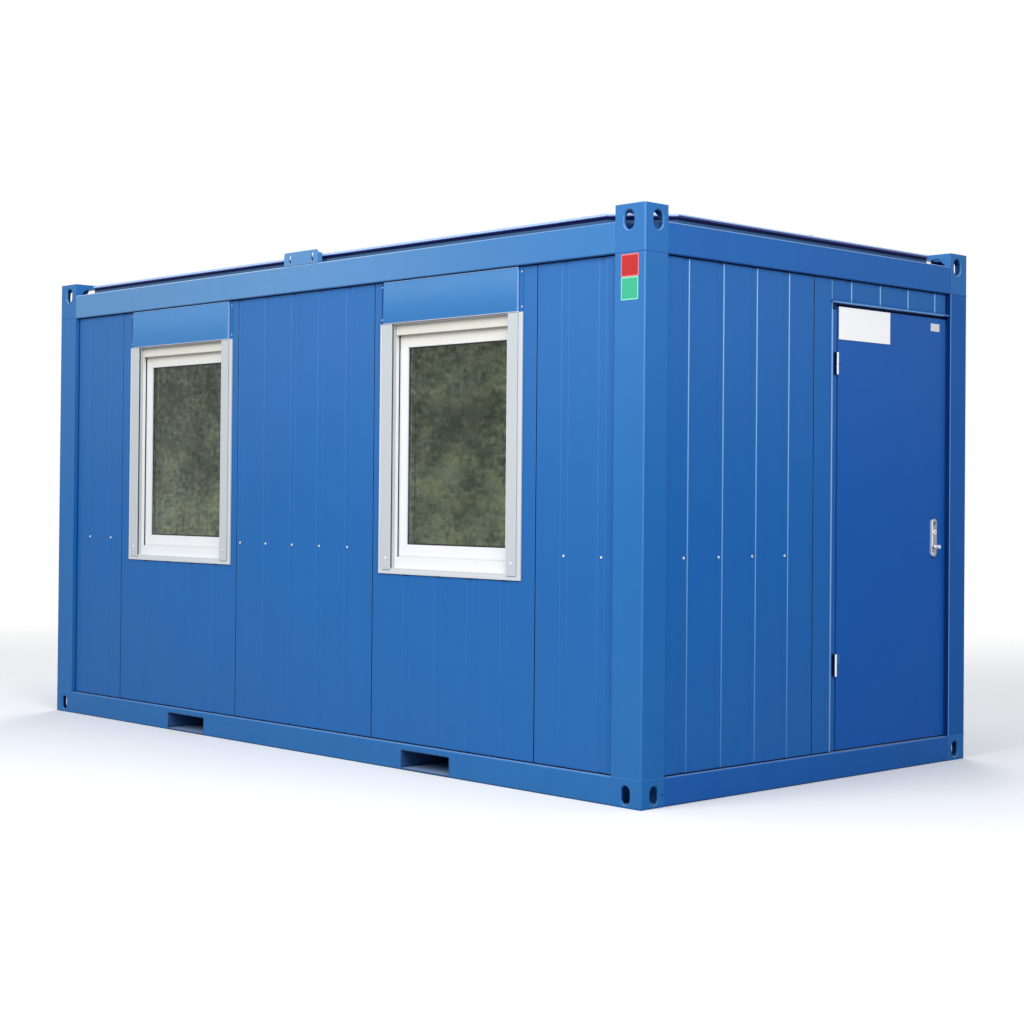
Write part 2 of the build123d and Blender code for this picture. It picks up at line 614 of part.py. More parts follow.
def panel_points(start, end, bands, post_at_start=False, post_at_end=False):
    """Level section of a panel, along the wall and into the cabin."""
    groove_floor = WALL_RECESS + POST_GROOVE_DEPTH
    points = [(start, WALL_INNER)]
    if post_at_start:
        points += [(start, groove_floor), (start + POST_GROOVE, groove_floor)]
        points += [(start + POST_GROOVE, WALL_RECESS)]
    else:
        points += [(start, WALL_RECESS + PANEL_EDGE), (start + PANEL_EDGE, WALL_RECESS)]
    for middle in bands:
        points += [
            (middle - BAND_WIDTH / 2, WALL_RECESS),
            (middle - BAND_WIDTH / 2 + BAND_SLOPE, WALL_RECESS + BAND_DEPTH),
            (middle + BAND_WIDTH / 2 - BAND_SLOPE, WALL_RECESS + BAND_DEPTH),
            (middle + BAND_WIDTH / 2, WALL_RECESS),
        ]
    if post_at_end:
        points += [(end - POST_GROOVE, WALL_RECESS), (end - POST_GROOVE, groove_floor)]
        points += [(end, groove_floor)]
    else:
        points += [(end - PANEL_EDGE, WALL_RECESS), (end, WALL_RECESS + PANEL_EDGE)]
    points.append((end, WALL_INNER))
    return points


HALF_JOINT = PANEL_JOINT / 2
FIRST_SIDE_BAND = FIRST_BAND - SIDE_SEAM_INNER
HALF_PANEL_FAR = (-RAIL_HALF_X, -SIDE_SEAM_OUTER - HALF_JOINT)
WINDOW_PANEL_FAR = (-SIDE_SEAM_OUTER + HALF_JOINT, -SIDE_SEAM_INNER - HALF_JOINT)
MIDDLE_PANEL = (-SIDE_SEAM_INNER + HALF_JOINT, SIDE_SEAM_INNER - HALF_JOINT)
WINDOW_PANEL_NEAR = (SIDE_SEAM_INNER + HALF_JOINT, SIDE_SEAM_OUTER - HALF_JOINT)
HALF_PANEL_NEAR = (SIDE_SEAM_OUTER + HALF_JOINT, RAIL_HALF_X)


def side_panel_points(limits):
    """Section of a long-wall panel between two limits."""
    start, end = limits
    first = {
        -RAIL_HALF_X: -RAIL_HALF_X + HALF_PANEL_BANDS["far"],
        SIDE_SEAM_OUTER + HALF_JOINT: RAIL_HALF_X - HALF_PANEL_BANDS["near"],
    }.get(start, FIRST_SIDE_BAND)
    return panel_points(
        start,
        end,
        bands_on(first, SIDE_BAND_PITCH, start, end),
        post_at_start=start == -RAIL_HALF_X,
        post_at_end=end == RAIL_HALF_X,
    )


with BuildPart() as front_half_panels:
    for limits in (HALF_PANEL_FAR, HALF_PANEL_NEAR):
        with BuildSketch(PLAN["front"].offset(FLOOR)):
            with BuildLine():
                Polyline(*side_panel_points(limits), close=True)
            make_face()
        extrude(amount=WALL_TOP - FLOOR)
save(front_half_panels, "front_half_panels")

with BuildPart() as front_middle_panel:
    with BuildSketch(PLAN["front"].offset(FLOOR)):
        with BuildLine():
            Polyline(*side_panel_points(MIDDLE_PANEL), close=True)
        make_face()
    extrude(amount=WALL_TOP - FLOOR)
save(front_middle_panel, "front_middle_panel")

for panel_name, limits, window_x in (
    ("front_window_panel_far", WINDOW_PANEL_FAR, -WINDOW_X),
    ("front_window_panel_near", WINDOW_PANEL_NEAR, WINDOW_X),
):
    with BuildPart() as window_panel:
        with BuildSketch(PLAN["front"].offset(FLOOR)):
            with BuildLine():
                Polyline(*side_panel_points(limits), close=True)
            make_face()
        extrude(amount=WALL_TOP - FLOOR)
        with BuildSketch(FACE["front"]):
            rectangle((window_x - WINDOW_HALF, window_x + WINDOW_HALF), (WINDOW_SILL, BOX_TOP))
        extrude(amount=-WALL_INNER, mode=Mode.SUBTRACT)
    save(window_panel, panel_name)

with BuildPart() as back_wall_panels:
    for limits in (
        HALF_PANEL_FAR,
        WINDOW_PANEL_FAR,
        MIDDLE_PANEL,
        WINDOW_PANEL_NEAR,
        HALF_PANEL_NEAR,
    ):
        with BuildSketch(PLAN["back"].offset(FLOOR)):
            with BuildLine():
                Polyline(*side_panel_points(limits), close=True)
            make_face()
        extrude(amount=WALL_TOP - FLOOR)
save(back_wall_panels, "back_wall_panels")

with BuildPart() as far_end_panels:
    for start, end in ((-RAIL_HALF_Y, -HALF_JOINT), (HALF_JOINT, RAIL_HALF_Y)):
        with BuildSketch(PLAN["far_end"].offset(FLOOR)):
            with BuildLine():
                Polyline(
                    *panel_points(
                        start,
                        end,
                        bands_on(FIRST_BAND, END_BAND_PITCH, start, end),
                        post_at_start=start == -RAIL_HALF_Y,
                        post_at_end=end == RAIL_HALF_Y,
                    ),
                    close=True,
                )
            make_face()
        extrude(amount=WALL_TOP - FLOOR)
save(far_end_panels, "far_end_panels")

# The door end: a wide and a narrow panel beside the door, and a short one over it.
DOOR_SEAM = JAMB_OUTER - NARROW_PANEL
with BuildPart() as door_end_side_panels:
    for start, end, first in (
        (-RAIL_HALF_Y, DOOR_SEAM - HALF_JOINT, DOOR_SEAM + NARROW_BAND - END_BAND_PITCH),
        (DOOR_SEAM + HALF_JOINT, JAMB_OUTER, DOOR_SEAM + NARROW_BAND),
    ):
        with BuildSketch(PLAN["door_end"].offset(FLOOR)):
            with BuildLine():
                Polyline(
                    *panel_points(
                        start,
                        end,
                        bands_on(first, END_BAND_PITCH, start, end),
                        post_at_start=start == -RAIL_HALF_Y,
                    ),
                    close=True,
                )
            make_face()
        extrude(amount=WALL_TOP - FLOOR)
save(door_end_side_panels, "door_end_side_panels")

with BuildPart() as door_end_head_panel:
    start, end = JAMB_OUTER + PANEL_JOINT, RAIL_HALF_Y
    with BuildSketch(PLAN["door_end"].offset(FRAME_TOP)):
        with BuildLine():
            Polyline(
                *panel_points(
                    start,
                    end,
                    bands_on(JAMB_OUTER + HEAD_BAND, END_BAND_PITCH, start, end),
                    post_at_end=True,
                ),
                close=True,
            )
        make_face()
    extrude(amount=WALL_TOP - FRAME_TOP)
save(door_end_head_panel, "door_end_head_panel")

# ================================================================ windows
# Plastic frames in the two cut-outs of the window wall, with a deeper rebate behind the lip.
with BuildPart() as window_frames:
    with BuildSketch(FACE["front"].offset(-WINDOW_DEPTH)):
        with Locations(*WINDOW_CENTRES):
            Rectangle(WINDOW_WIDTH, WINDOW_HEIGHT)
            Rectangle(OPEN_WIDTH, OPEN_HEIGHT, mode=Mode.SUBTRACT)
    extrude(amount=-FRAME_LIP)
    with BuildSketch(FACE["front"].offset(-WINDOW_DEPTH - FRAME_LIP)):
        with Locations(*WINDOW_CENTRES):
            Rectangle(WINDOW_WIDTH, WINDOW_HEIGHT)
            Rectangle(REBATE_WIDTH, REBATE_HEIGHT, mode=Mode.SUBTRACT)
    extrude(amount=FRAME_LIP - FRAME_THICKNESS)
save(window_frames, "window_frames")

# Sashes with a glazing groove that holds the double glazing all round.
with BuildPart() as window_sashes:
    with BuildSketch(FACE["front"].offset(-SASH_DEPTH)):
        with Locations(*WINDOW_CENTRES):
            Rectangle(REBATE_WIDTH, REBATE_HEIGHT)
            Rectangle(SIGHT_WIDTH, SIGHT_HEIGHT, mode=Mode.SUBTRACT)
    extrude(amount=-SASH_THICKNESS)
    with BuildSketch(FACE["front"].offset(-GLASS_DEPTH)):
        with Locations(*WINDOW_CENTRES):
            Rectangle(PANE_WIDTH, PANE_HEIGHT)
    extrude(amount=-GLAZING_THICKNESS, mode=Mode.SUBTRACT)
save(window_sashes, "window_sashes")

# Rubber seals: one between the frame's lip and the sash, one between the sash and the glass.
LIP_BACK = WINDOW_DEPTH + FRAME_LIP
with BuildPart() as window_seals:
    with BuildSketch(FACE["front"].offset(-LIP_BACK)):
        with Locations(*WINDOW_CENTRES):
            Rectangle(REBATE_WIDTH, REBATE_HEIGHT)
            Rectangle(OPEN_WIDTH + SEAL_INSET, OPEN_HEIGHT + SEAL_INSET, mode=Mode.SUBTRACT)
    extrude(amount=LIP_BACK - SASH_DEPTH)
    with BuildSketch(FACE["front"].offset(SEAL_INSET / 2 - GLASS_DEPTH)):
        with Locations(*WINDOW_CENTRES):
            Rectangle(SIGHT_WIDTH, SIGHT_HEIGHT)
            Rectangle(
                SIGHT_WIDTH - 2 * SEAL_WIDTH, SIGHT_HEIGHT - 2 * SEAL_WIDTH, mode=Mode.SUBTRACT
            )
    extrude(amount=-SEAL_INSET / 2)
save(window_seals, "window_seals")

with BuildPart() as window_glass:
    for pane_depth in (GLASS_DEPTH, GLASS_DEPTH + GLAZING_THICKNESS - PANE_THICKNESS):
        with BuildSketch(FACE["front"].offset(-pane_depth)):
            with Locations(*WINDOW_CENTRES):
                Rectangle(PANE_WIDTH, PANE_HEIGHT)
        extrude(amount=-PANE_THICKNESS)
save(window_glass, "window_glass")

with BuildPart() as window_spacers:
    with BuildSketch(FACE["front"].offset(-GLASS_DEPTH - PANE_THICKNESS)):
        with Locations(*WINDOW_CENTRES):
            Rectangle(PANE_WIDTH, PANE_HEIGHT)
            Rectangle(
                PANE_WIDTH - 2 * SPACER_WIDTH, PANE_HEIGHT - 2 * SPACER_WIDTH, mode=Mode.SUBTRACT
            )
    extrude(amount=2 * PANE_THICKNESS - GLAZING_THICKNESS)
save(window_spacers, "window_spacers")

# ================================================================ roller shutters
# The box stands over each window in the wall's cut-out, open to the cover in front and with
# a slot for the curtain between the guides.
GROOVE_DEPTH = GUIDE_FACE_DEPTH + GUIDE_FACE
with BuildPart() as shutter_boxes:
    for window_x in (-WINDOW_X, WINDOW_X):
        back_y = WALL_RECESS + BOX_DEPTH - SIDE
        span_box(
            (window_x - WINDOW_HALF, window_x + WINDOW_HALF),
            (WALL_RECESS - SIDE, back_y),
            (WINDOW_TOP, BOX_TOP),
        )
        span_box(
            (window_x - WINDOW_HALF + BOX_WALL, window_x + WINDOW_HALF - BOX_WALL),
            (WALL_RECESS - SIDE, back_y - BOX_WALL),
            (WINDOW_TOP + BOX_WALL, BOX_TOP - BOX_WALL),
            Mode.SUBTRACT,
        )
        span_box(
            (window_x - GUIDE_INNER - GUIDE_GROOVE, window_x + GUIDE_INNER + GUIDE_GROOVE),
            (WALL_RECESS - SIDE, WINDOW_DEPTH - SIDE),
            (WINDOW_TOP, WINDOW_TOP + BOX_WALL),
            Mode.SUBTRACT,
        )
save(shutter_boxes, "shutter_boxes")

# The rolled curtain, its axle in the box's cheeks and its last slats hanging in the slot.
CURTAIN_DEPTH = GROOVE_DEPTH + CURTAIN_PLAY
ROLL_DEPTH = CURTAIN_DEPTH + CURTAIN / 2 + ROLL_RADIUS
ROLL_LEVEL = WINDOW_TOP + BOX_HEIGHT / 2
ROLL_HALF = GUIDE_INNER + GUIDE_GROOVE - CURTAIN_PLAY
with BuildPart() as shutter_rolls:
    for window_x in (-WINDOW_X, WINDOW_X):
        with BuildSketch(CROSS["front"].offset(window_x - ROLL_HALF)):
            with Locations((ROLL_DEPTH, ROLL_LEVEL)):
                Circle(ROLL_RADIUS)
            rectangle(
                (CURTAIN_DEPTH, CURTAIN_DEPTH + CURTAIN), (WINDOW_TOP - CURTAIN_HANG, ROLL_LEVEL)
            )
        extrude(amount=2 * ROLL_HALF)
        with BuildSketch(CROSS["front"].offset(window_x - WINDOW_HALF + BOX_WALL)):
            with Locations((ROLL_DEPTH, ROLL_LEVEL)):
                Circle(AXLE_RADIUS)
        extrude(amount=2 * (WINDOW_HALF - BOX_WALL))
save(shutter_rolls, "shutter_rolls")

# The folded cover: a shallow box over the wall whose face leans out a little to its foot, with a
# fold at the top, a short lip turned in at the foot, two cheeks and a flange on each side.
COVER_TOP = WINDOW_TOP + COVER_RISE
with BuildPart() as shutter_covers:
    for window_x in (-WINDOW_X, WINDOW_X):
        with BuildSketch(CROSS["front"].offset(window_x - COVER_HALF)):
            with BuildLine():
                Polyline(
                    (WALL_RECESS, COVER_TOP),
                    (COVER_TOP_DEPTH, COVER_TOP),
                    (COVER_FOOT_DEPTH, WINDOW_TOP),
                    (COVER_FOOT_DEPTH + COVER_RETURN, WINDOW_TOP),
                    (COVER_FOOT_DEPTH + COVER_RETURN, WINDOW_TOP + COVER_SHEET),
                    (COVER_FOOT_DEPTH + COVER_SHEET, WINDOW_TOP + COVER_SHEET),
                    (COVER_TOP_DEPTH + COVER_SHEET, COVER_TOP - COVER_SHEET),
                    (WALL_RECESS, COVER_TOP - COVER_SHEET),
                    close=True,
                )
            make_face()
        extrude(amount=2 * COVER_HALF)
        for cheek_x in (window_x - COVER_HALF, window_x + COVER_HALF - COVER_SHEET):
            with BuildSketch(CROSS["front"].offset(cheek_x)):
                with BuildLine():
                    Polyline(
                        (WALL_RECESS, COVER_TOP),
                        (COVER_TOP_DEPTH, COVER_TOP),
                        (COVER_FOOT_DEPTH, WINDOW_TOP),
                        (WALL_RECESS, WINDOW_TOP),
                        close=True,
                    )
                make_face()
            extrude(amount=COVER_SHEET)
        with BuildSketch(FACE["front"].offset(COVER_SHEET - WALL_RECESS)):
            for flange_x in (window_x - COVER_HALF - COVER_FLANGE, window_x + COVER_HALF):
                rectangle((flange_x, flange_x + COVER_FLANGE), (WINDOW_TOP, COVER_TOP))
        extrude(amount=-COVER_SHEET)
save(shutter_covers, "shutter_covers")

# Aluminium guides for the curtain on both sides of each window: a cover plate in front, a
# body in the cut-out and a brush groove that faces the window.
with BuildPart() as shutter_guides:
    for window_x in (-WINDOW_X, WINDOW_X):
        for hand in (-1, 1):
            inner, outer = window_x + hand * GUIDE_INNER, window_x + hand * GUIDE_OUTER
            edge = window_x + hand * WINDOW_HALF
            with BuildSketch(PLAN["front"].offset(WINDOW_SILL)):
                rectangle((inner, edge), (GROOVE_DEPTH, WINDOW_DEPTH))
                rectangle(
                    (inner, inner + hand * GUIDE_GROOVE),
                    (GROOVE_DEPTH, GROOVE_DEPTH + GUIDE_GROOVE_WIDTH),
                    Mode.SUBTRACT,
                )
            extrude(amount=WINDOW_HEIGHT)
            with BuildSketch(PLAN["front"].offset(WINDOW_SILL - GUIDE_FOOT)):
                rectangle((inner, outer), (GUIDE_FACE_DEPTH, GROOVE_DEPTH))
            extrude(amount=WINDOW_HEIGHT + GUIDE_FOOT)
save(shutter_guides, "shutter_guides")

# Aluminium trim round the sides and foot of each cut-out, with a raised outer lip and a sill.
with BuildPart() as window_trims:
    trim_face = WALL_RECESS - TRIM_THICKNESS
    for window_x in (-WINDOW_X, WINDOW_X):
        with BuildSketch(FACE["front"].offset(-trim_face)):
            rectangle(
                (window_x - TRIM_OUTER, window_x + TRIM_OUTER),
                (WINDOW_SILL - TRIM_FOOT, WINDOW_TOP),
            )
            rectangle(
                (window_x - TRIM_OUTER + TRIM_LIP, window_x + TRIM_OUTER - TRIM_LIP),
                (WINDOW_SILL - TRIM_FOOT + TRIM_LIP, WINDOW_TOP),
                Mode.SUBTRACT,
            )
        extrude(amount=-TRIM_STEP)
        with BuildSketch(FACE["front"].offset(-trim_face - TRIM_STEP)):
            rectangle(
                (window_x - TRIM_OUTER, window_x + TRIM_OUTER),
                (WINDOW_SILL - TRIM_FOOT, WINDOW_TOP),
            )
            rectangle(
                (window_x - WINDOW_HALF, window_x + WINDOW_HALF),
                (WINDOW_SILL, WINDOW_TOP),
                Mode.SUBTRACT,
            )
        extrude(amount=TRIM_STEP - TRIM_THICKNESS)
        with BuildSketch(FACE["front"].offset(-trim_face - TRIM_STEP)):
            rectangle(
                (window_x - GUIDE_INNER, window_x + GUIDE_INNER),
                (WINDOW_SILL, WINDOW_SILL + SILL_SHEET),
            )
        extrude(amount=trim_face + TRIM_STEP - WINDOW_DEPTH)
save(window_trims, "window_trims")

# ================================================================ door frame
# A folded frame: jambs and head, a stop all round behind the leaf, a drip cap above and a
# raised bead along the hinge jamb's outer edge.
with BuildPart() as door_frame:
    with BuildSketch(FACE["door_end"].offset(-WALL_RECESS)):
        rectangle((JAMB_OUTER, RAIL_HALF_Y), (FLOOR, FRAME_TOP))
        rectangle((JAMB_INNER, RAIL_HALF_Y - LOCK_JAMB), (FLOOR, DOOR_HEAD), Mode.SUBTRACT)
    extrude(amount=WALL_RECESS - STOP_DEPTH)
    with BuildSketch(FACE["door_end"].offset(-STOP_DEPTH)):
        rectangle((JAMB_OUTER, RAIL_HALF_Y), (FLOOR, FRAME_TOP))
        rectangle(
            (LEAF_HINGE_EDGE + STOP_COVER, LEAF_LOCK_EDGE - STOP_COVER),
            (LEAF_BASE + STOP_COVER, LEAF_TOP - STOP_COVER),
            Mode.SUBTRACT,
        )
    extrude(amount=-STOP_THICKNESS)
    with BuildSketch(CROSS["door_end"].offset(JAMB_OUTER)):
        with BuildLine():
            Polyline(
                (WALL_RECESS, FRAME_TOP),
                (WALL_RECESS - DRIP_REACH, FRAME_TOP - DRIP_HEIGHT / 2),
                (WALL_RECESS - DRIP_REACH, FRAME_TOP - DRIP_HEIGHT),
                (WALL_RECESS, FRAME_TOP - DRIP_HEIGHT),
                close=True,
            )
        make_face()
    extrude(amount=RAIL_HALF_Y - JAMB_OUTER)
    with BuildSketch(PLAN["door_end"].offset(FLOOR)):
        with BuildLine():
            Polyline(
                (JAMB_OUTER, WALL_RECESS),
                (JAMB_OUTER + JAMB_BEAD / 2, WALL_RECESS - JAMB_BEAD_HEIGHT),
                (JAMB_OUTER + JAMB_BEAD, WALL_RECESS - JAMB_BEAD_HEIGHT),
                (JAMB_OUTER + JAMB_BEAD, WALL_RECESS),
                close=True,
            )
        make_face()
    extrude(amount=FRAME_TOP - DRIP_HEIGHT - FLOOR)
save(door_frame, "door_frame")

# Two pin hinges: the lower knuckle and its plate are on the jamb, the upper ones on the leaf.
KNUCKLE = (HINGE_HEIGHT - KNUCKLE_GAP) / 2
strap_face = WALL_RECESS - HINGE_STRAP
with BuildPart() as door_frame_hinges:
    for level in HINGE_LEVELS:
        with BuildSketch(PLAN["door_end"].offset(level - HINGE_HEIGHT / 2)):
            with Locations((HINGE_Y, HINGE_DEPTH)):
                Circle(HINGE_RADIUS)
            rectangle((HINGE_Y - HINGE_PLATE_REACH, HINGE_Y), (strap_face, WALL_RECESS))
        extrude(amount=KNUCKLE)
save(door_frame_hinges, "door_frame_hinges")

# ================================================================ door leaf
with BuildPart() as door_leaf:
    with BuildSketch(FACE["door_end"].offset(-WALL_RECESS)):
        rectangle((LEAF_HINGE_EDGE, LEAF_LOCK_EDGE), (LEAF_BASE, LEAF_TOP))
        with Locations((LOCK_Y, LEVER_LEVEL)):
            Circle(SPINDLE_RADIUS + SPINDLE_PLAY, mode=Mode.SUBTRACT)
    extrude(amount=-LEAF_THICKNESS)
save(door_leaf, "door_leaf")

with BuildPart() as door_leaf_hinges:
    for level in HINGE_LEVELS:
        with BuildSketch(PLAN["door_end"].offset(level + HINGE_HEIGHT / 2 - KNUCKLE)):
            with Locations((HINGE_Y, HINGE_DEPTH)):
                Circle(HINGE_RADIUS)
            rectangle(
                (HINGE_Y, LEAF_HINGE_EDGE + HINGE_STRAP_REACH),
                (strap_face, WALL_RECESS - HINGE_STRAP_GAP),
            )
            rectangle(
                (LEAF_HINGE_EDGE, LEAF_HINGE_EDGE + HINGE_STRAP_REACH), (strap_face, WALL_RECESS)
            )
        extrude(amount=KNUCKLE)
save(door_leaf_hinges, "door_leaf_hinges")

# Long lock plates with rounded ends on both faces of the leaf.
with BuildPart() as door_lock_plates:
    for face_depth, thickness in (
        (WALL_RECESS - PLATE_THICKNESS, PLATE_THICKNESS),
        (LEAF_BACK, INNER_PLATE_THICKNESS),
    ):
        with BuildSketch(FACE["door_end"].offset(-face_depth)):
            with Locations((LOCK_Y, PLATE_MIDDLE)):
                SlotOverall(PLATE_HEIGHT, PLATE_WIDTH, rotation=90)
            with Locations((LOCK_Y, LEVER_LEVEL)):
                Circle(SPINDLE_RADIUS + SPINDLE_PLAY, mode=Mode.SUBTRACT)
        extrude(amount=-thickness)
save(door_lock_plates, "door_lock_plates")

with BuildPart() as door_lock_cylinder:
    cylinder_face = WALL_RECESS - PLATE_THICKNESS - CYLINDER_HEIGHT
    with BuildSketch(FACE["door_end"].offset(-cylinder_face)):
        with Locations((LOCK_Y, CYLINDER_LEVEL)):
            Circle(CYLINDER_RADIUS)
    extrude(amount=-CYLINDER_HEIGHT)
    with BuildSketch(FACE["door_end"].offset(-cylinder_face)):
        with Locations((LOCK_Y, CYLINDER_LEVEL)):
            Circle(KEYWAY_RADIUS)
    extrude(amount=-KEYWAY_DEPTH, mode=Mode.SUBTRACT)
save(door_lock_cylinder, "door_lock_cylinder")

# The latch spindle: a short knob outside, a shaft through the leaf and a lever inside.
with BuildPart() as door_lever:
    plate_face = WALL_RECESS - PLATE_THICKNESS - SPINDLE_PLAY
    inner_face = LEAF_BACK + INNER_PLATE_THICKNESS + SPINDLE_PLAY
    with BuildSketch(FACE["door_end"].offset(-plate_face)):
        with Locations((LOCK_Y, LEVER_LEVEL)):
            Circle(KNOB_RADIUS)
    extrude(amount=KNOB_LENGTH)
    with BuildSketch(FACE["door_end"].offset(-plate_face)):
        with Locations((LOCK_Y, LEVER_LEVEL)):
            Circle(SPINDLE_RADIUS)
    extrude(amount=plate_face - inner_face)
    with BuildSketch(FACE["door_end"].offset(-inner_face)):
        with Locations((LOCK_Y, LEVER_LEVEL)):
            Circle(LEVER_RADIUS)
    extrude(amount=-LEVER_NECK)
    with BuildSketch(CROSS["door_end"].offset(LOCK_Y + LEVER_RADIUS)):
        with Locations((inner_face + LEVER_NECK - LEVER_RADIUS, LEVER_LEVEL)):
            Circle(LEVER_RADIUS)
    extrude(amount=-LEVER_REACH)
save(door_lever, "door_lever")

# Two plain plates near the leaf's top edge.
with BuildPart() as door_sign_plate:
    sign_start = LEAF_HINGE_EDGE + SIGN_FROM_HINGE_EDGE
    with BuildSketch(FACE["door_end"].offset(SIGN_THICKNESS - WALL_RECESS)):
        rectangle((sign_start, sign_start + SIGN_WIDTH), (SIGN_TOP - SIGN_HEIGHT, SIGN_TOP))
    extrude(amount=-SIGN_THICKNESS)
save(door_sign_plate, "door_sign_plate")

with BuildPart() as door_small_plate:
    sign_end = LEAF_LOCK_EDGE - SMALL_SIGN_FROM_LOCK_EDGE
    with BuildSketch(FACE["door_end"].offset(SIGN_THICKNESS - WALL_RECESS)):
        rectangle(
            (sign_end - SMALL_SIGN_WIDTH, sign_end),
            (SMALL_SIGN_TOP - SMALL_SIGN_HEIGHT, SMALL_SIGN_TOP),
        )
    extrude(amount=-SIGN_THICKNESS)
save(door_small_plate, "door_small_plate")
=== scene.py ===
import json
import math

import bmesh
import bpy
from mathutils import Matrix, Vector


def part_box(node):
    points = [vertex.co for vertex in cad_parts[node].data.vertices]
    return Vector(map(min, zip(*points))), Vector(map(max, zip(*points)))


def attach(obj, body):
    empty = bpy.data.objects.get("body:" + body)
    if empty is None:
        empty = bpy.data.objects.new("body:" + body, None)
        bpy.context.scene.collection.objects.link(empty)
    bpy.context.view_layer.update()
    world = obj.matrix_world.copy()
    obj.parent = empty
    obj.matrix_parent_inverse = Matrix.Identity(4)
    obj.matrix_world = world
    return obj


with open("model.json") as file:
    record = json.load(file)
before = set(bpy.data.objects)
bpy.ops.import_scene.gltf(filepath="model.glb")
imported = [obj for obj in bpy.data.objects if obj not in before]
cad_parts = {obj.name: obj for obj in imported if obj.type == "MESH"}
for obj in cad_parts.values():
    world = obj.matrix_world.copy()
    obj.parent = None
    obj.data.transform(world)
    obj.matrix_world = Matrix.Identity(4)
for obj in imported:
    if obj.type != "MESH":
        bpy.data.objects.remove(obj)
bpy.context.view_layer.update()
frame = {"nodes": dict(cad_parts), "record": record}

# ------------------------------
# Studio: a pale floor that fades into a white surround, a broad lamp on the
# window side, weaker ones at the door end, behind and overhead. The camera
# stands at eye height off the corner between window wall and door end.
# ------------------------------
scene = bpy.context.scene
scene.view_settings.view_transform = "Standard"

CAMERA_PLACE = Vector((7.871, -7.021, 1.333))
CAMERA_HEADING = math.radians(135.60)
CAMERA_PITCH = math.radians(0.67)
CAMERA_ROLL = math.radians(0.489)
QUARTER_TURN = math.pi / 2

camera_data = bpy.data.cameras.new("corner_camera")
camera_data.sensor_width = 36.0
camera_data.lens = 65.7
camera_data.shift_x = -0.048
camera_data.shift_y = -0.037
camera_data.clip_end = 200
camera = bpy.data.objects.new("corner_camera", camera_data)
camera.matrix_world = (
    Matrix.Translation(CAMERA_PLACE)
    @ Matrix.Rotation(CAMERA_HEADING - QUARTER_TURN, 4, "Z")
    @ Matrix.Rotation(CAMERA_PITCH + QUARTER_TURN, 4, "X")
    @ Matrix.Rotation(CAMERA_ROLL, 4, "Z")
)
scene.collection.objects.link(camera)
scene.camera = camera


def lamp(name, place, target, size, power):
    """A square area lamp that faces a point."""
    data = bpy.data.lights.new(name, "AREA")
    data.size = size
    data.energy = power
    lamp_object = bpy.data.objects.new(name, data)
    lamp_object.location = place
    lamp_object.rotation_euler = (Vector(target) - Vector(place)).to_track_quat("-Z", "Y").to_euler()
    scene.collection.objects.link(lamp_object)


lamp("window_side_lamp", (1.2, -9.5, 7.0), (0, 0, 1.2), 6.0, 690)
lamp("door_end_lamp", (7.5, -4.0, 5.2), (2.4, -0.8, 1.4), 3.0, 310)
lamp("back_lamp", (-7.0, 8.0, 7.0), (0, 0, 1.2), 6.0, 520)
lamp("overhead_lamp", (0.0, 0.0, 11.0), (0, 0, 1.2), 8.0, 300)


def node(tree, kind, links=(), **settings):
    """A node with its settings, and each input given as (socket, value or output)."""
    made = tree.nodes.new(kind)
    for key, value in settings.items():
        setattr(made, key, value)
    for socket, value in links:
        if isinstance(value, bpy.types.NodeSocket):
            tree.links.new(value, made.inputs[socket])
        else:
            made.inputs[socket].default_value = value
    return made


def arith(operation, *values, clamp=False):
    """One sum on numbers and outputs, in the tree that its outputs belong to."""
    tree = next(value.id_data for value in values if isinstance(value, bpy.types.NodeSocket))
    made = node(tree, "ShaderNodeMath", enumerate(values), operation=operation, use_clamp=clamp)
    return made.outputs[0]


def sum_maker(operation):
    """A function for one kind of sum."""
    return lambda *values, clamp=False: arith(operation, *values, clamp=clamp)


times, times_plus, plus, minus = map(sum_maker, ("MULTIPLY", "MULTIPLY_ADD", "ADD", "SUBTRACT"))
below, above, larger, size_of = map(sum_maker, ("LESS_THAN", "GREATER_THAN", "MAXIMUM", "ABSOLUTE"))


def mixed(factor, first, second):
    """A colour between two others."""
    inputs = (("Factor", factor), ("A", first), ("B", second))
    return node(factor.id_data, "ShaderNodeMix", inputs, data_type="RGBA").outputs[2]


def fade(value, low, high):
    """0 where a value is at low, 1 where it is at high, and a soft step between."""
    inputs = (("Value", value), ("From Min", low), ("From Max", high))
    return node(value.id_data, "ShaderNodeMapRange", inputs, interpolation_type="SMOOTHSTEP").outputs[0]


def shader_between(share, first, second):
    """A shader between two others."""
    inputs = ((0, share), (1, first.outputs[0]), (2, second.outputs[0]))
    return node(share.id_data, "ShaderNodeMixShader", inputs).outputs[0]


def seen_directly(tree):
    """1 for what the camera sees, also in gloss and through glass, and 0 for soft light."""
    ray = node(tree, "ShaderNodeLightPath").outputs
    gloss = larger(ray["Is Camera Ray"], ray["Is Glossy Ray"])
    return larger(gloss, ray["Is Transmission Ray"])


world = bpy.data.worlds.new("studio_world")
world.use_nodes = True
scene.world = world
tree = world.node_tree
tree.nodes.clear()
soft_light = node(tree, "ShaderNodeBackground", (("Color", (0.93, 0.96, 1.0, 1)), ("Strength", 0.42)))
white_surround = node(tree, "ShaderNodeBackground", (("Color", (1, 1, 1, 1)), ("Strength", 1.0)))
surround = shader_between(seen_directly(tree), soft_light, white_surround)
node(tree, "ShaderNodeOutputWorld", (("Surface", surround),))

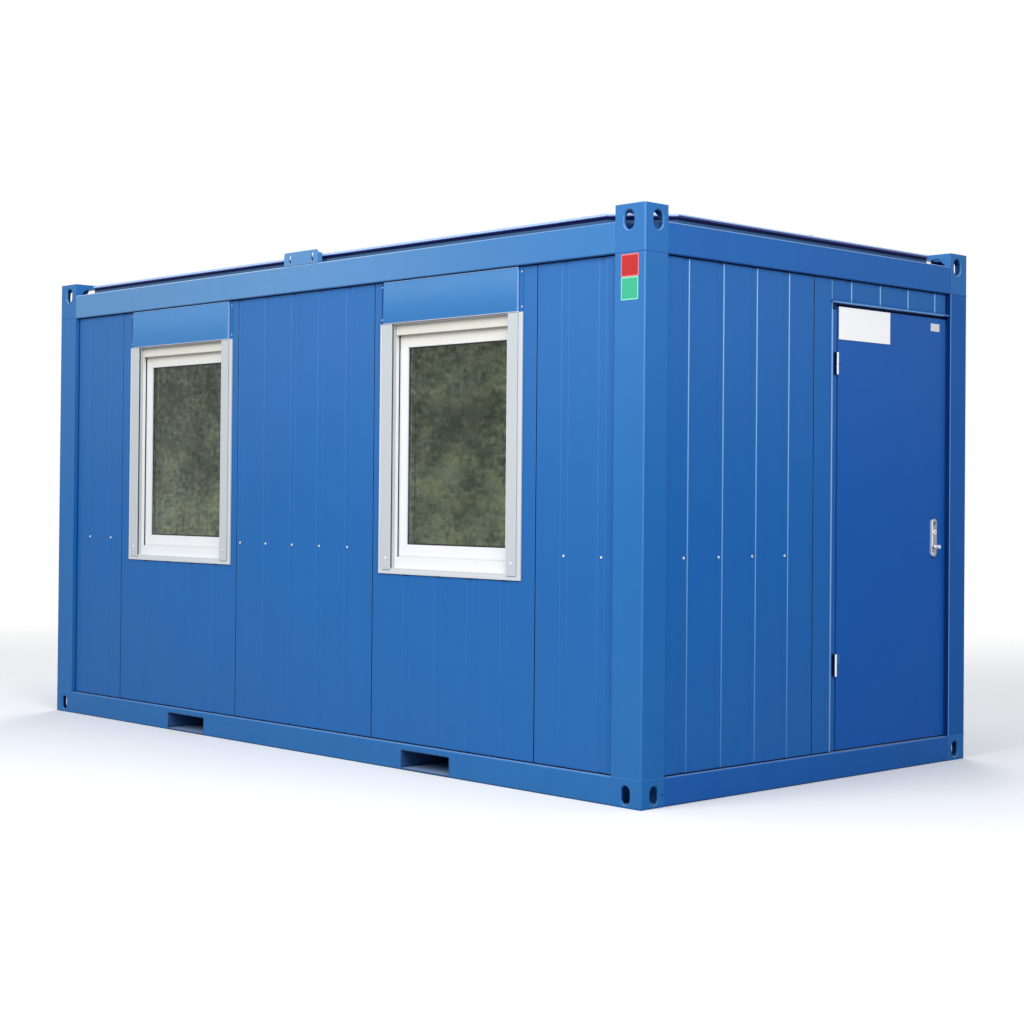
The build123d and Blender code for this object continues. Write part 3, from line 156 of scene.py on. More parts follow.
FLOOR_REACH = 10.0
FLOOR_FADES_FROM = 5.0
FLOOR_SIDES = 64
floor_mesh = bpy.data.meshes.new("studio_floor")
floor_angles = [2 * math.pi * k / FLOOR_SIDES for k in range(FLOOR_SIDES)]
floor_ring = [(FLOOR_REACH * math.cos(angle), FLOOR_REACH * math.sin(angle), 0) for angle in floor_angles]
floor_mesh.from_pydata(floor_ring, [], [list(range(FLOOR_SIDES))])
studio_floor = bpy.data.objects.new("studio_floor", floor_mesh)
scene.collection.objects.link(studio_floor)
floor_finish = bpy.data.materials.new("studio_floor")
floor_finish.use_nodes = True
tree = floor_finish.node_tree
tree.nodes.clear()
floor_tone = mixed(seen_directly(tree), (0.36, 0.36, 0.37, 1), (0.88, 0.88, 0.88, 1))
floor_matt = node(tree, "ShaderNodeBsdfDiffuse", (("Color", floor_tone),))
floor_place = node(tree, "ShaderNodeTexCoord").outputs["Object"]
from_middle = node(tree, "ShaderNodeVectorMath", ((0, floor_place),), operation="LENGTH").outputs["Value"]
floor_end = node(tree, "ShaderNodeBsdfTransparent")
floor_blend = shader_between(fade(from_middle, FLOOR_FADES_FROM, FLOOR_REACH), floor_matt, floor_end)
node(tree, "ShaderNodeOutputMaterial", (("Surface", floor_blend),))
floor_mesh.materials.append(floor_finish)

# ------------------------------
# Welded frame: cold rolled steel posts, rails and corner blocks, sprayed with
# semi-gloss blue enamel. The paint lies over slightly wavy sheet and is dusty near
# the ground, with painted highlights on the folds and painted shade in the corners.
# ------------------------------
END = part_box("corner_posts")[1].x
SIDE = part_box("corner_posts")[1].y
FRAME_BLUE = (44, 111, 176)
RAIL_SHEEN_BLUE = (92, 142, 193)
FOLD_HIGHLIGHT_BLUE = (140, 188, 238)
CORNER_SHADE_NAVY = (10, 26, 66)


def linear(rgb):
    """A display colour, 0 to 255, as the scene-linear colour that a shader takes."""
    values = [c / 255 for c in rgb]
    return tuple(c / 12.92 if c <= 0.04045 else ((c + 0.055) / 1.055) ** 2.4 for c in values) + (1.0,)


def group_with(name, inputs, outputs):
    """An empty shader node group; inputs are (name, kind, default), outputs (name, kind)."""
    tree = bpy.data.node_groups.new(name, "ShaderNodeTree")
    for socket_name, kind, default in inputs:
        tree.interface.new_socket(socket_name, in_out="INPUT", socket_type=kind).default_value = default
    for socket_name, kind in outputs:
        tree.interface.new_socket(socket_name, in_out="OUTPUT", socket_type=kind)
    return tree, tree.nodes.new("NodeGroupInput").outputs, tree.nodes.new("NodeGroupOutput").inputs


def place_and_axes(tree):
    """The place on the cabin, in metres, whole and as three numbers."""
    place = node(tree, "ShaderNodeTexCoord").outputs["Object"]
    return place, node(tree, "ShaderNodeSeparateXYZ", ((0, place),)).outputs


def lean_of(tree):
    """The surface's direction on the piece itself, as three numbers."""
    direction = node(tree, "ShaderNodeTexCoord").outputs["Normal"]
    return node(tree, "ShaderNodeSeparateXYZ", ((0, direction),)).outputs


def scaled(colour, share):
    """A colour made lighter or darker."""
    inputs = ((0, colour), ("Scale", share))
    return node(colour.id_data, "ShaderNodeVectorMath", inputs, operation="SCALE").outputs[0]


def clouds(place, scale, detail, stretch=(1, 1, 1)):
    """Noise about nought, in blotches or, stretched, in streaks."""
    tree = place.id_data
    spread_out = node(tree, "ShaderNodeMapping", (("Vector", place), ("Scale", stretch))).outputs[0]
    noise = node(tree, "ShaderNodeTexNoise", (("Vector", spread_out), ("Scale", scale), ("Detail", detail)))
    return minus(noise.outputs[0], 0.5)


NUMBER, COLOUR, VECTOR = "NodeSocketFloat", "NodeSocketColor", "NodeSocketVector"
FINISH_OUTPUTS = (("Colour", COLOUR), ("Roughness", NUMBER), ("Height", NUMBER))
END_SHADE_TINT = (0.62, 0.97, 1.08, 1)
CHALK_AND_SHEEN = (170, 200, 232)
GROUND_DUST = (104, 134, 172)
LEDGE_DUST_AND_SKYLIGHT = (168, 196, 232)

# Enamel over sheet steel: mottled colour, faint upright streaks and dust near the ground.
# The short ends are painted deeper and bluer than the long sides, a painted shade; chalk
# and a painted sheen pale it towards the roof, and dust and a painted skylight pale level faces.
enamel, enamel_in, enamel_out = group_with(
    "enamel_on_sheet",
    (
        ("Colour", COLOUR, (0.1, 0.1, 0.1, 1)),
        ("Mottle", NUMBER, 0.10),
        ("Streaks", NUMBER, 0.08),
        ("Dust", NUMBER, 0.10),
        ("Ledge Dust And Skylight", NUMBER, 0.45),
        ("Roughness", NUMBER, 0.34),
    ),
    FINISH_OUTPUTS,
)
place, axes = place_and_axes(enamel)
blotch = clouds(place, 1.7, 4.0)
run_marks = clouds(place, 1.6, 3.0, (9.0, 9.0, 0.35))
blotch_part = times(blotch, enamel_in["Mottle"])
tone = times_plus(run_marks, enamel_in["Streaks"], blotch_part)
lightness = plus(tone, 1.0)
mottled = scaled(enamel_in["Colour"], lightness)
# Paler towards the roof: chalk and a painted sheen.
chalk_and_sheen = times(fade(axes["Z"], 1.0, 2.5), 0.05)
lean = lean_of(enamel)
# The short ends take a painted shade, deeper and bluer than the long sides.
on_ends = fade(size_of(lean["X"]), 0.5, 0.95)
tint = mixed(on_ends, (1, 1, 1, 1), END_SHADE_TINT)
ends_shaded = node(enamel, "ShaderNodeVectorMath", ((0, mottled), (1, tint)), operation="MULTIPLY").outputs[
    0
]
chalked_and_sheened = mixed(chalk_and_sheen, ends_shaded, linear(CHALK_AND_SHEEN))
near_ground = fade(axes["Z"], 1.1, 0.0)
splashes = plus(clouds(place, 7.0, 6.0), 0.5)
dust = times(times(splashes, near_ground), enamel_in["Dust"], clamp=True)
dusty = mixed(dust, chalked_and_sheened, linear(GROUND_DUST))
# Level faces are paled by dust and a painted skylight.
level_part = fade(lean["Z"], 0.75, 0.98)
on_ledges = times(level_part, enamel_in["Ledge Dust And Skylight"])
enamel.links.new(mixed(on_ledges, dusty, linear(LEDGE_DUST_AND_SKYLIGHT)), enamel_out["Colour"])
dull = times_plus(blotch, 0.18, enamel_in["Roughness"])
enamel.links.new(times_plus(dust, 0.5, dull), enamel_out["Roughness"])
peel = clouds(place, 420.0, 2.0)
wave = clouds(place, 2.3, 1.0)
enamel.links.new(times_plus(peel, 0.012, wave), enamel_out["Height"])

# Folds and corners: a painted highlight where a surface turns outward over an edge and on
# bends that face the sky or the window side, more so high up, and a painted shade where it turns inward at a
# corner.
folds, folds_in, folds_out = group_with(
    "folds_and_corners",
    (
        ("Radius", NUMBER, 0.003),
        ("Edge Share", NUMBER, 0.5),
        ("Bend Share", NUMBER, 0.0),
        ("Corner Share", NUMBER, 0.5),
    ),
    (("Edge", NUMBER), ("Corner", NUMBER), ("Normal", VECTOR)),
)
rounded = node(folds, "ShaderNodeBevel", (("Radius", folds_in["Radius"]),), samples=6).outputs[0]
flat = node(folds, "ShaderNodeNewGeometry").outputs["Normal"]
straightness = node(folds, "ShaderNodeVectorMath", ((0, rounded), (1, flat)), operation="DOT_PRODUCT")
turned = fade(straightness.outputs["Value"], 0.995, 0.86)
openness = node(folds, "ShaderNodeAmbientOcclusion", (("Distance", 0.014),), samples=6).outputs["AO"]
outward = times(turned, fade(openness, 0.72, 0.93))
edge_highlight_share = times(outward, folds_in["Edge Share"])
lean = lean_of(folds)
window_side = times(lean["Y"], -1.0, clamp=True)
to_far_or_door = larger(fade(lean["X"], 0.2, -0.2), fade(lean["X"], 0.6, 0.85))
sideways_share = times_plus(to_far_or_door, 0.4, 0.6)
sideways = times(times(lean["X"], lean["X"]), sideways_share)
to_windows = times(window_side, sideways)
skyward = times(lean["Z"], 1.0, clamp=True)
not_level = minus(1.0, times(lean["Z"], lean["Z"]))
to_sky = times(skyward, not_level)
axes = place_and_axes(folds)[1]
high_up = times_plus(axes["Z"], 0.38, 0.12, clamp=True)
bend_highlight_mask = times(fade(plus(to_windows, to_sky), 0.06, 0.40), high_up)
bend_part = times(bend_highlight_mask, folds_in["Bend Share"])
folds.links.new(larger(edge_highlight_share, bend_part), folds_out["Edge"])
corner_shade_share = fade(openness, 0.92, 0.40)
folds.links.new(times(corner_shade_share, folds_in["Corner Share"]), folds_out["Corner"])
folds.links.new(rounded, folds_out["Normal"])


def principled(name, **values):
    """A material with a Principled shader, its plain sockets set by name."""
    made = bpy.data.materials.new(name)
    made.use_nodes = True
    shader = made.node_tree.nodes["Principled BSDF"]
    for key, value in values.items():
        shader.inputs[key.replace("_", " ")].default_value = value
    return made, shader


def finished(name, group, rgb, bump, radius, edge, corner, settings, bend_highlight=0.0, **sockets):
    """A material from a finish group; edge and corner are (colour, share) of a painted highlight on edges and
    bends and of a painted shade in corners, and bend is the share of that painted highlight on bends.
    """
    made, shader = principled(name, **sockets)
    tree = made.node_tree
    coat = node(tree, "ShaderNodeGroup", {"Colour": linear(rgb), **settings}.items(), node_tree=group)
    shares = {"Radius": radius, "Edge Share": edge[1], "Bend Share": bend_highlight, "Corner Share": corner[1]}
    turns = node(tree, "ShaderNodeGroup", shares.items(), node_tree=folds)
    with_edge_highlights = mixed(turns.outputs["Edge"], coat.outputs["Colour"], linear(edge[0]))
    with_corner_shade = mixed(turns.outputs["Corner"], with_edge_highlights, linear(corner[0]))
    relief = node(
        tree,
        "ShaderNodeBump",
        (("Height", coat.outputs["Height"]), ("Normal", turns.outputs["Normal"]), ("Distance", bump)),
    )
    tree.links.new(with_corner_shade, shader.inputs["Base Color"])
    tree.links.new(coat.outputs["Roughness"], shader.inputs["Roughness"])
    tree.links.new(relief.outputs[0], shader.inputs["Normal"])
    return made


def enamelled(
    name, rgb, bump=0.0012, radius=0.0015, edge=(FOLD_HIGHLIGHT_BLUE, 0.0), corner=(CORNER_SHADE_NAVY, 0.6), bend_highlight=0.9, **settings
):
    """Blue enamel or coil coating on sheet steel."""
    return finished(name, enamel, rgb, bump, radius, edge, corner, settings, bend_highlight, Specular_IOR_Level=0.06)


def dress(material, *names):
    """Give CAD nodes their finish."""
    for name in names:
        for material_slot in frame["nodes"][name].material_slots:
            material_slot.material = material


def axes_of(material):
    """The place on the cabin as three numbers, in a material's own tree."""
    return place_and_axes(material.node_tree)[1]


def paint(material, *layers):
    """Lay colours over a material's own, each as (share, display colour)."""
    tree = material.node_tree
    base = tree.nodes["Principled BSDF"].inputs["Base Color"]
    tone = base.links[0].from_socket
    for share, rgb in layers:
        tone = mixed(share, tone, linear(rgb))
    tree.links.new(tone, base)


frame_enamel = enamelled("frame_enamel", FRAME_BLUE, bump=0.0015, bend_highlight=0.35, Roughness=0.32)
dress(frame_enamel, "bottom_rail_front", "bottom_rail_back")
# The feet at the ends are a deeper blue than the long sides' feet: painted shade.
end_foot_shaded_enamel = enamelled("end_foot_shaded_enamel", (30, 98, 174), bend_highlight=0.2, Roughness=0.32)
dress(end_foot_shaded_enamel, "bottom_rail_door_end", "bottom_rail_far_end")
for corner_name in ("front_door", "front_far", "back_door", "back_far"):
    dress(frame_enamel, f"bottom_corner_{corner_name}", f"top_corner_{corner_name}")

# The long top rails are painted a paler blue, a painted sky sheen, that deepens towards the door end.
PALE_FOLD_HIGHLIGHT = (206, 222, 242)
long_rail_sheen_enamel = enamelled(
    "long_rail_sheen_enamel", RAIL_SHEEN_BLUE, edge=(PALE_FOLD_HIGHLIGHT, 0.0), bend_highlight=0.6, Roughness=0.4, Dust=0.0
)
axes = axes_of(long_rail_sheen_enamel)
paint(long_rail_sheen_enamel, (times(fade(axes["X"], -0.4, END), 0.8), (56, 117, 180)))
dress(long_rail_sheen_enamel, "top_rail_front", "top_rail_back", "stacking_brackets")
# The top rails at the ends are a deeper blue than the long ones: painted shade.
end_rail_shaded_enamel = enamelled(
    "end_rail_shaded_enamel", (27, 99, 173), edge=(PALE_FOLD_HIGHLIGHT, 0.0), bend_highlight=0.3, Roughness=0.34, Dust=0.0
)
dress(end_rail_shaded_enamel, "top_rail_door_end", "top_rail_far_end")

# ------------------------------
# Weld seams: ground beads where posts and rails meet the corner blocks. They
# are painted with the frame and read as thin lines, the foot beads lighter with a
# painted highlight and the head beads darker with a painted shade.
# ------------------------------
BEAD = 0.003
BEAD_PROUD = 0.0003
SHARP_EDGE = math.radians(35)


def box_into(mesh, low, high):
    """Add a box between two corners to a bmesh."""
    made = bmesh.ops.create_cube(mesh, size=1.0)
    for vertex in made["verts"]:
        vertex.co = [low[axis] + (vertex.co[axis] + 0.5) * (high[axis] - low[axis]) for axis in range(3)]


def span(sign, first, second):
    """Two distances to one side of the middle, in rising order."""
    return sorted((sign * first, sign * second))


def piece(name, mesh, material, body="cabin", bevel=0.0, segments=2):
    """Turn a bmesh into a piece of the cabin that rides on a body."""
    data = bpy.data.meshes.new(name)
    bmesh.ops.recalc_face_normals(mesh, faces=mesh.faces)
    mesh.to_mesh(data)
    mesh.free()
    made = bpy.data.objects.new(name, data)
    scene.collection.objects.link(made)
    data.materials.append(material)
    if bevel:
        rounding = made.modifiers.new("rounding", "BEVEL")
        rounding.width = bevel
        rounding.segments = segments
        rounding.limit_method = "ANGLE"
    data.polygons.foreach_set("use_smooth", [True] * len(data.polygons))
    data.set_sharp_from_angle(angle=SHARP_EDGE)
    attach(made, body)


block_low, block_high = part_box("top_corner_front_door")
block_x, block_y = block_high.x - block_low.x, block_high.y - block_low.y
RAIL_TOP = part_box("bottom_rail_front")[1].z

# The posts of the back wall are a little deeper in tone. The fold that faces the door
# carries a painted highlight, and its side a painted shade.
FOLD_LINE = 0.006
HAIR = 0.0005  # keeps a mask's limit just off the plane that it follows
POST_BACK = (0, 80, 168)
POST_FOLD_HIGHLIGHT = (120, 172, 228)
POST_SHADE = (4, 20, 84)
post_enamel = enamelled("post_enamel", FRAME_BLUE, bump=0.0015, bend_highlight=0.35, Roughness=0.32)
axes = axes_of(post_enamel)
post_edge = SIDE - block_y
on_end_plane = above(size_of(axes["X"]), END - 0.001)
off_fold = size_of(minus(axes["Y"], post_edge))
on_fold = times(on_end_plane, below(off_fold, FOLD_LINE))
on_back = times(above(axes["Y"], 0.0), 0.6)
inner_side = below(off_fold, HAIR)
below_plane = minus(1.0, on_end_plane)
in_shade = times(times(inner_side, below_plane), 0.75)
paint(post_enamel, (on_back, POST_BACK), (times(on_fold, 0.75), POST_FOLD_HIGHLIGHT), (in_shade, POST_SHADE))
dress(post_enamel, "corner_posts")


def seam_round_posts(name, level, rgb):
    """A level bead round the two outer faces of each post."""
    beads = bmesh.new()
    for sx in (-1, 1):
        for sy in (-1, 1):
            from_x, to_x = span(sx, END - block_x, END)
            from_y, to_y = span(sy, SIDE - block_y, SIDE)
            low_z, high_z = level - BEAD / 2, level + BEAD / 2
            out_y, out_x = sy * SIDE, sx * END
            box_into(beads, (from_x, out_y - BEAD_PROUD, low_z), (to_x, out_y + BEAD_PROUD, high_z))
            box_into(beads, (out_x - BEAD_PROUD, from_y, low_z), (out_x + BEAD_PROUD, to_y, high_z))
    bead_enamel = enamelled(name + "_enamel", rgb, corner=(rgb, 0.0), bend_highlight=0.0, Roughness=0.4)
    piece(name, beads, bead_enamel, bevel=BEAD_PROUD / 2)


# The foot beads carry a painted highlight, the head beads a painted shade.
seam_round_posts("foot_weld_seams", RAIL_TOP, (70, 134, 200))
seam_round_posts("head_weld_seams", block_low.z, (20, 86, 158))

# ------------------------------
# Wall panels: sandwich panels with a blue coil coated outer skin and a white
# inner skin, with dark strips in their joints and round headed screws half way
# up. Dark strips at their foot and head are painted shade in the gaps there.
# ------------------------------
WALL_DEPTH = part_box("front_middle_panel")[1].y + SIDE
INSIDE_MARGIN = 0.0004
SKIN_BLUE = (40, 105, 174)
SKIN_WHITE = (226, 227, 224)
BAND_FOLD_HIGHLIGHT = (150, 196, 240)


def with_inner_skin(material, half_length, half_width):
    """Turn the faces towards the room white."""
    axes = axes_of(material)
    along = below(size_of(axes["X"]), half_length)
    across = below(size_of(axes["Y"]), half_width)
    paint(material, (times(along, across), SKIN_WHITE))
    return material


# The panels' band flanks and folds carry a painted highlight, and their corners a painted shade.
outer_skin = enamelled(
    "panel_coat", SKIN_BLUE, bump=0.0018, edge=(BAND_FOLD_HIGHLIGHT, 0.0), corner=(CORNER_SHADE_NAVY, 0.7), bend_highlight=1.0, Roughness=0.4
)
room_length, room_width = END - WALL_DEPTH + INSIDE_MARGIN, SIDE - WALL_DEPTH + INSIDE_MARGIN
panel_coat = with_inner_skin(outer_skin, room_length, room_width)
dress(panel_coat, "front_half_panels", "front_middle_panel", "back_wall_panels", "far_end_panels")
dress(panel_coat, "front_window_panel_far", "front_window_panel_near")
dress(panel_coat, "door_end_side_panels", "door_end_head_panel")

# Fine grain: the quiet finish of plastics, rubbers and metals, brushed where it is stretched.
grain, grain_in, grain_out = group_with(
    "fine_grain",
    (
        ("Colour", COLOUR, (0.5, 0.5, 0.5, 1)),
        ("Stretch", VECTOR, (1, 1, 1)),
        ("Scale", NUMBER, 60.0),
        ("Variation", NUMBER, 0.06),
        ("Roughness", NUMBER, 0.4),
    ),
    FINISH_OUTPUTS,
)
place, axes = place_and_axes(grain)
laid = node(grain, "ShaderNodeVectorMath", ((0, place), (1, grain_in["Stretch"])), operation="MULTIPLY")
noise_inputs = (("Vector", laid.outputs[0]), ("Scale", grain_in["Scale"]), ("Detail", 4.0))
speckle = node(grain, "ShaderNodeTexNoise", noise_inputs)
speckle_shift = minus(speckle.outputs[0], 0.5)
grain_light = times_plus(speckle_shift, grain_in["Variation"], 1.0)
grain.links.new(scaled(grain_in["Colour"], grain_light), grain_out["Colour"])
grain.links.new(times_plus(speckle_shift, 0.2, grain_in["Roughness"]), grain_out["Roughness"])
grain.links.new(speckle.outputs[0], grain_out["Height"])


def moulded(
    name, rgb, edge=None, corner=((20, 22, 26), 0.5), bump=0.0002, radius=0.0015, settings=None, **sockets
):
    """A plastic, rubber or metal part with fine grain, a painted highlight on its edges where one is given,
    and a painted shade in its corners.
    """
    return finished(name, grain, rgb, bump, radius, edge or (rgb, 0.0), corner, settings or {}, **sockets)


rubber_grain = {"Roughness": 0.62, "Scale": 300.0}
rubber = moulded("black_rubber", (24, 24, 27), ((70, 72, 76), 0.4), settings=rubber_grain)

STRIP_HEIGHT = 0.005
PANEL_JOINT = 0.001
STRIP_PROUD = 0.0015
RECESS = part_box("front_middle_panel")[0].y + SIDE
head_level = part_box("top_rail_front")[0].z
door_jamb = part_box("door_frame")[0].y
# The strips at the foot and head are dark pieces for the shade in the gaps there, painted shade; the strips
# in the panel joints are dark joints.
shade_and_joint_strips = bmesh.new()
for low_z in (RAIL_TOP, head_level - STRIP_HEIGHT):
    high_z = low_z + STRIP_HEIGHT
    reach_x, reach_y = END - block_x, SIDE - block_y
    for sign in (-1, 1):
        wall_y, wall_x = sign * (SIDE - RECESS), sign * (END - RECESS)
        last_y = door_jamb if sign == 1 and low_z == RAIL_TOP else reach_y
        box_into(shade_and_joint_strips, (-reach_x, wall_y - STRIP_PROUD, low_z), (reach_x, wall_y + STRIP_PROUD, high_z))
        box_into(shade_and_joint_strips, (wall_x - STRIP_PROUD, -reach_y, low_z), (wall_x + STRIP_PROUD, last_y, high_z))
JOINT_STRIP = 0.0064
JOINT_STRIP_DEPTH = 0.0003
JOINT_STRIP_BACK = 0.006
NARROW_PANEL = 0.135
middle_joint = (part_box("front_middle_panel")[1].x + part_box("front_window_panel_near")[0].x) / 2
outer_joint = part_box("front_window_panel_near")[1].x + PANEL_JOINT / 2
front_y = (-SIDE + RECESS + JOINT_STRIP_DEPTH, -SIDE + RECESS + JOINT_STRIP_BACK)
end_x = (END - RECESS - JOINT_STRIP_BACK, END - RECESS - JOINT_STRIP_DEPTH)
side_joints = (-outer_joint, -middle_joint, middle_joint, outer_joint)
for joint_x in side_joints:
    from_x, to_x = joint_x - JOINT_STRIP / 2, joint_x + JOINT_STRIP / 2
    box_into(shade_and_joint_strips, (from_x, front_y[0], RAIL_TOP), (to_x, front_y[1], head_level))
    box_into(shade_and_joint_strips, (from_x, -front_y[1], RAIL_TOP), (to_x, -front_y[0], head_level))
for joint_y, from_x, to_x in ((door_jamb - NARROW_PANEL, *end_x), (0.0, -end_x[1], -end_x[0])):
    from_y, to_y = joint_y - JOINT_STRIP / 2, joint_y + JOINT_STRIP / 2
    box_into(shade_and_joint_strips, (from_x, from_y, RAIL_TOP), (to_x, to_y, head_level))
joint_and_shade_rubber = moulded(
    "joint_and_shade_strip", (8, 16, 50), settings={"Roughness": 0.7, "Scale": 200.0}, Specular_IOR_Level=0.05
)
piece("wall_shade_and_joint_strips", shade_and_joint_strips, joint_and_shade_rubber, bevel=0.0005)

# Sealant cords lie in the grooves between wall and posts.
CORD_WIDTH = 0.011
CORD_DEPTH = 0.005
CORD_THICKNESS = 0.006
cord_x, cord_y = END - RECESS - CORD_DEPTH, SIDE - RECESS - CORD_DEPTH
cords = bmesh.new()
for sx in (-1, 1):
    for sy in (-1, 1):
        from_x, to_x = span(sx, END - block_x, END - block_x - CORD_WIDTH)
        from_y, to_y = span(sy, cord_y, cord_y - CORD_THICKNESS)
        box_into(cords, (from_x, from_y, RAIL_TOP), (to_x, to_y, head_level))
        if (sx, sy) != (1, 1):
            from_y, to_y = span(sy, SIDE - block_y, SIDE - block_y - CORD_WIDTH)
            from_x, to_x = span(sx, cord_x, cord_x - CORD_THICKNESS)
            box_into(cords, (from_x, from_y, RAIL_TOP), (to_x, to_y, head_level))
sealant_grain = {"Roughness": 0.3, "Scale": 60.0}
sealant = moulded(
    "sealant", (8, 28, 84), corner=((6, 10, 30), 0.3), settings=sealant_grain, Specular_IOR_Level=0.2
)
piece("post_sealant_cords", cords, sealant, bevel=0.002, segments=3)

BAND_DEPTH = 0.0025
SIDE_BAND_PITCH = 0.234
END_BAND_PITCH = 0.2325
FIRST_SIDE_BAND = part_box("front_middle_panel")[0].x + 0.030
BAND_HALF = 0.0265
HALF_PANEL_BANDS = (block_x - END + 0.152, END - block_x - 0.095 - SIDE_BAND_PITCH)
side_bands = [FIRST_SIDE_BAND + SIDE_BAND_PITCH * step for step in range(-5, 10)]
side_bands = [
    band_x for band_x in side_bands if min(abs(band_x - joint_x) for joint_x in side_joints) > BAND_HALF
]
side_bands += [first_x + SIDE_BAND_PITCH * step for first_x in HALF_PANEL_BANDS for step in range(2)]
FIRST_END_BAND = door_jamb - 0.110
SCREW_LEVEL = 1.066
SCREW_RADIUS = 0.0065
SCREW_HEIGHT = 0.0035
SCREW_SIDES = 12
SCREW_PROFILE = ((1.0, 0.0), (1.0, 0.35), (0.82, 0.75), (0.45, 1.0), (0.3, 1.0), (0.25, 0.7))


def turned_into(mesh, centre, normal, profile, sides):
    """A turned shape, standing on a face; its profile is (radius, height) from foot to top."""
    turn = Vector((0, 0, 1)).rotation_difference(Vector(normal)).to_matrix().to_4x4()
    stand = Matrix.Translation(Vector(centre)) @ turn
    rings = []
    for reach, lift in profile:
        angles = [2 * math.pi * k / sides for k in range(sides)]
        points = [Vector((reach * math.cos(angle), reach * math.sin(angle), lift)) for angle in angles]
        rings.append([mesh.verts.new(stand @ point) for point in points])
    for lower, upper in zip(rings, rings[1:]):
        for k in range(sides):
            after = (k + 1) % sides
            mesh.faces.new((lower[k], lower[after], upper[after], upper[k]))
    mesh.faces.new(rings[-1])
    mesh.faces.new(list(reversed(rings[0])))


def screw_into(mesh, centre, normal, radius, height):
    """A domed screw head with a drive recess, standing on a face."""
    profile = [(radius * share, height * lift) for share, lift in SCREW_PROFILE]
    turned_into(mesh, centre, normal, profile, SCREW_SIDES)


zinc = moulded("zinc_screws", (214, 220, 228), settings={"Roughness": 0.34, "Scale": 400.0}, Metallic=0.6)
wall_screws = bmesh.new()
screw_plane = SIDE - RECESS - BAND_DEPTH
window_panels = [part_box(f"front_window_panel_{end_name}") for end_name in ("far", "near")]
for band_x in side_bands:
    if not any(low.x < band_x < high.x for low, high in window_panels):
        screw_into(wall_screws, (band_x, -screw_plane, SCREW_LEVEL), (0, -1, 0), SCREW_RADIUS, SCREW_HEIGHT)
    screw_into(wall_screws, (-band_x, screw_plane, SCREW_LEVEL), (0, 1, 0), SCREW_RADIUS, SCREW_HEIGHT)
for step in range(1, 5):
    band_y = FIRST_END_BAND - END_BAND_PITCH * step
    screw_place = (END - RECESS - BAND_DEPTH, band_y, SCREW_LEVEL)
    screw_into(wall_screws, screw_place, (1, 0, 0), SCREW_RADIUS, SCREW_HEIGHT)
piece("wall_screws", wall_screws, zinc)

# ------------------------------
# Floor group: blue enamelled fork pockets, galvanised joists and underfloor sheet,
# and the sealed board with its flecked vinyl covering that is the room's floor.
# ------------------------------
spangled, spangled_in, spangled_out = group_with(
    "zinc_spangle",
    (
        ("Colour", COLOUR, (0.5, 0.5, 0.5, 1)),
        ("Crystals", NUMBER, 60.0),
        ("Variation", NUMBER, 0.25),
        ("Roughness", NUMBER, 0.42),
    ),
    FINISH_OUTPUTS,
)
place, axes = place_and_axes(spangled)
crystal = node(spangled, "ShaderNodeTexVoronoi", (("Vector", place), ("Scale", spangled_in["Crystals"])))
crystal_tone = node(spangled, "ShaderNodeSeparateColor", ((0, crystal.outputs["Color"]),)).outputs[0]
crystal_shift = minus(crystal_tone, 0.5)
weathered = clouds(place, 3.0, 5.0)
zinc_light = times_plus(plus(crystal_shift, weathered), spangled_in["Variation"], 1.0)
spangled.links.new(scaled(spangled_in["Colour"], zinc_light), spangled_out["Colour"])
spangled.links.new(times_plus(crystal_shift, 0.2, spangled_in["Roughness"]), spangled_out["Roughness"])
spangled.links.new(weathered, spangled_out["Height"])

# The galvanised sheet carries a painted highlight on its edges and a painted shade in its corners.
ZINC_EDGE_HIGHLIGHT, ZINC_CORNER_SHADE = ((214, 220, 226), 0.4), ((40, 42, 46), 0.6)
galvanised = finished(
    "galvanised_sheet", spangled, (172, 180, 188), 0.0008, 0.002, ZINC_EDGE_HIGHLIGHT, ZINC_CORNER_SHADE, {}, Metallic=0.7
)
dress(galvanised, "underfloor_sheet", "floor_joists", "roof_tray")
pocket_enamel = enamelled("pocket_enamel", (20, 66, 118), Roughness=0.5, Dust=0.5)
dress(pocket_enamel, "fork_pocket_tubes")
deck_covering = moulded(
    "deck_covering", (120, 123, 124), settings={"Scale": 170.0, "Variation": 0.7, "Roughness": 0.45}
)
dress(deck_covering, "floor_deck")
ceiling_coat = enamelled("ceiling_coat", (228, 229, 226), bend_highlight=0.0, Roughness=0.5, Dust=0.0)
dress(ceiling_coat, "ceiling_panel")

# ------------------------------
# Roof edge: a pale coated roof sheet with a turned down rim over a dark slate
# band. The sheet's pale blue is partly a painted sky reflection and its edges carry a
# painted highlight; the rim's foot and the band's upper part carry a painted shade, nearly
# navy.
# ------------------------------
ROOF_PALE_AND_SKY_REFLECTION = (168, 196, 236)
ROOF_EDGE_HIGHLIGHT, ROOF_CORNER_SHADE = ((230, 240, 252), 0.5), ((60, 70, 100), 0.4)
ROOF_SPANGLE = {"Variation": 0.08, "Crystals": 45.0}
RIM_SHADE_ON_SIDES = 0.005
RIM_SHADE_MORE_ON_ENDS = 0.004
RIM_SHADE_BLUR = 0.0006
RIM_SHADE_NAVY = (4, 34, 112)
BAND_SLATE = (52, 84, 118)
BAND_SHADE_NAVY = (8, 18, 62)
BAND_SHADE_DROPS = (0.016, 0.010)  # below the rim's foot
rim_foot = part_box("roof_sheet")[0].z
roof_zinc = finished(
    "roof_zinc", spangled, ROOF_PALE_AND_SKY_REFLECTION, 0.001, 0.002, ROOF_EDGE_HIGHLIGHT, ROOF_CORNER_SHADE, ROOF_SPANGLE, Metallic=0.05
)
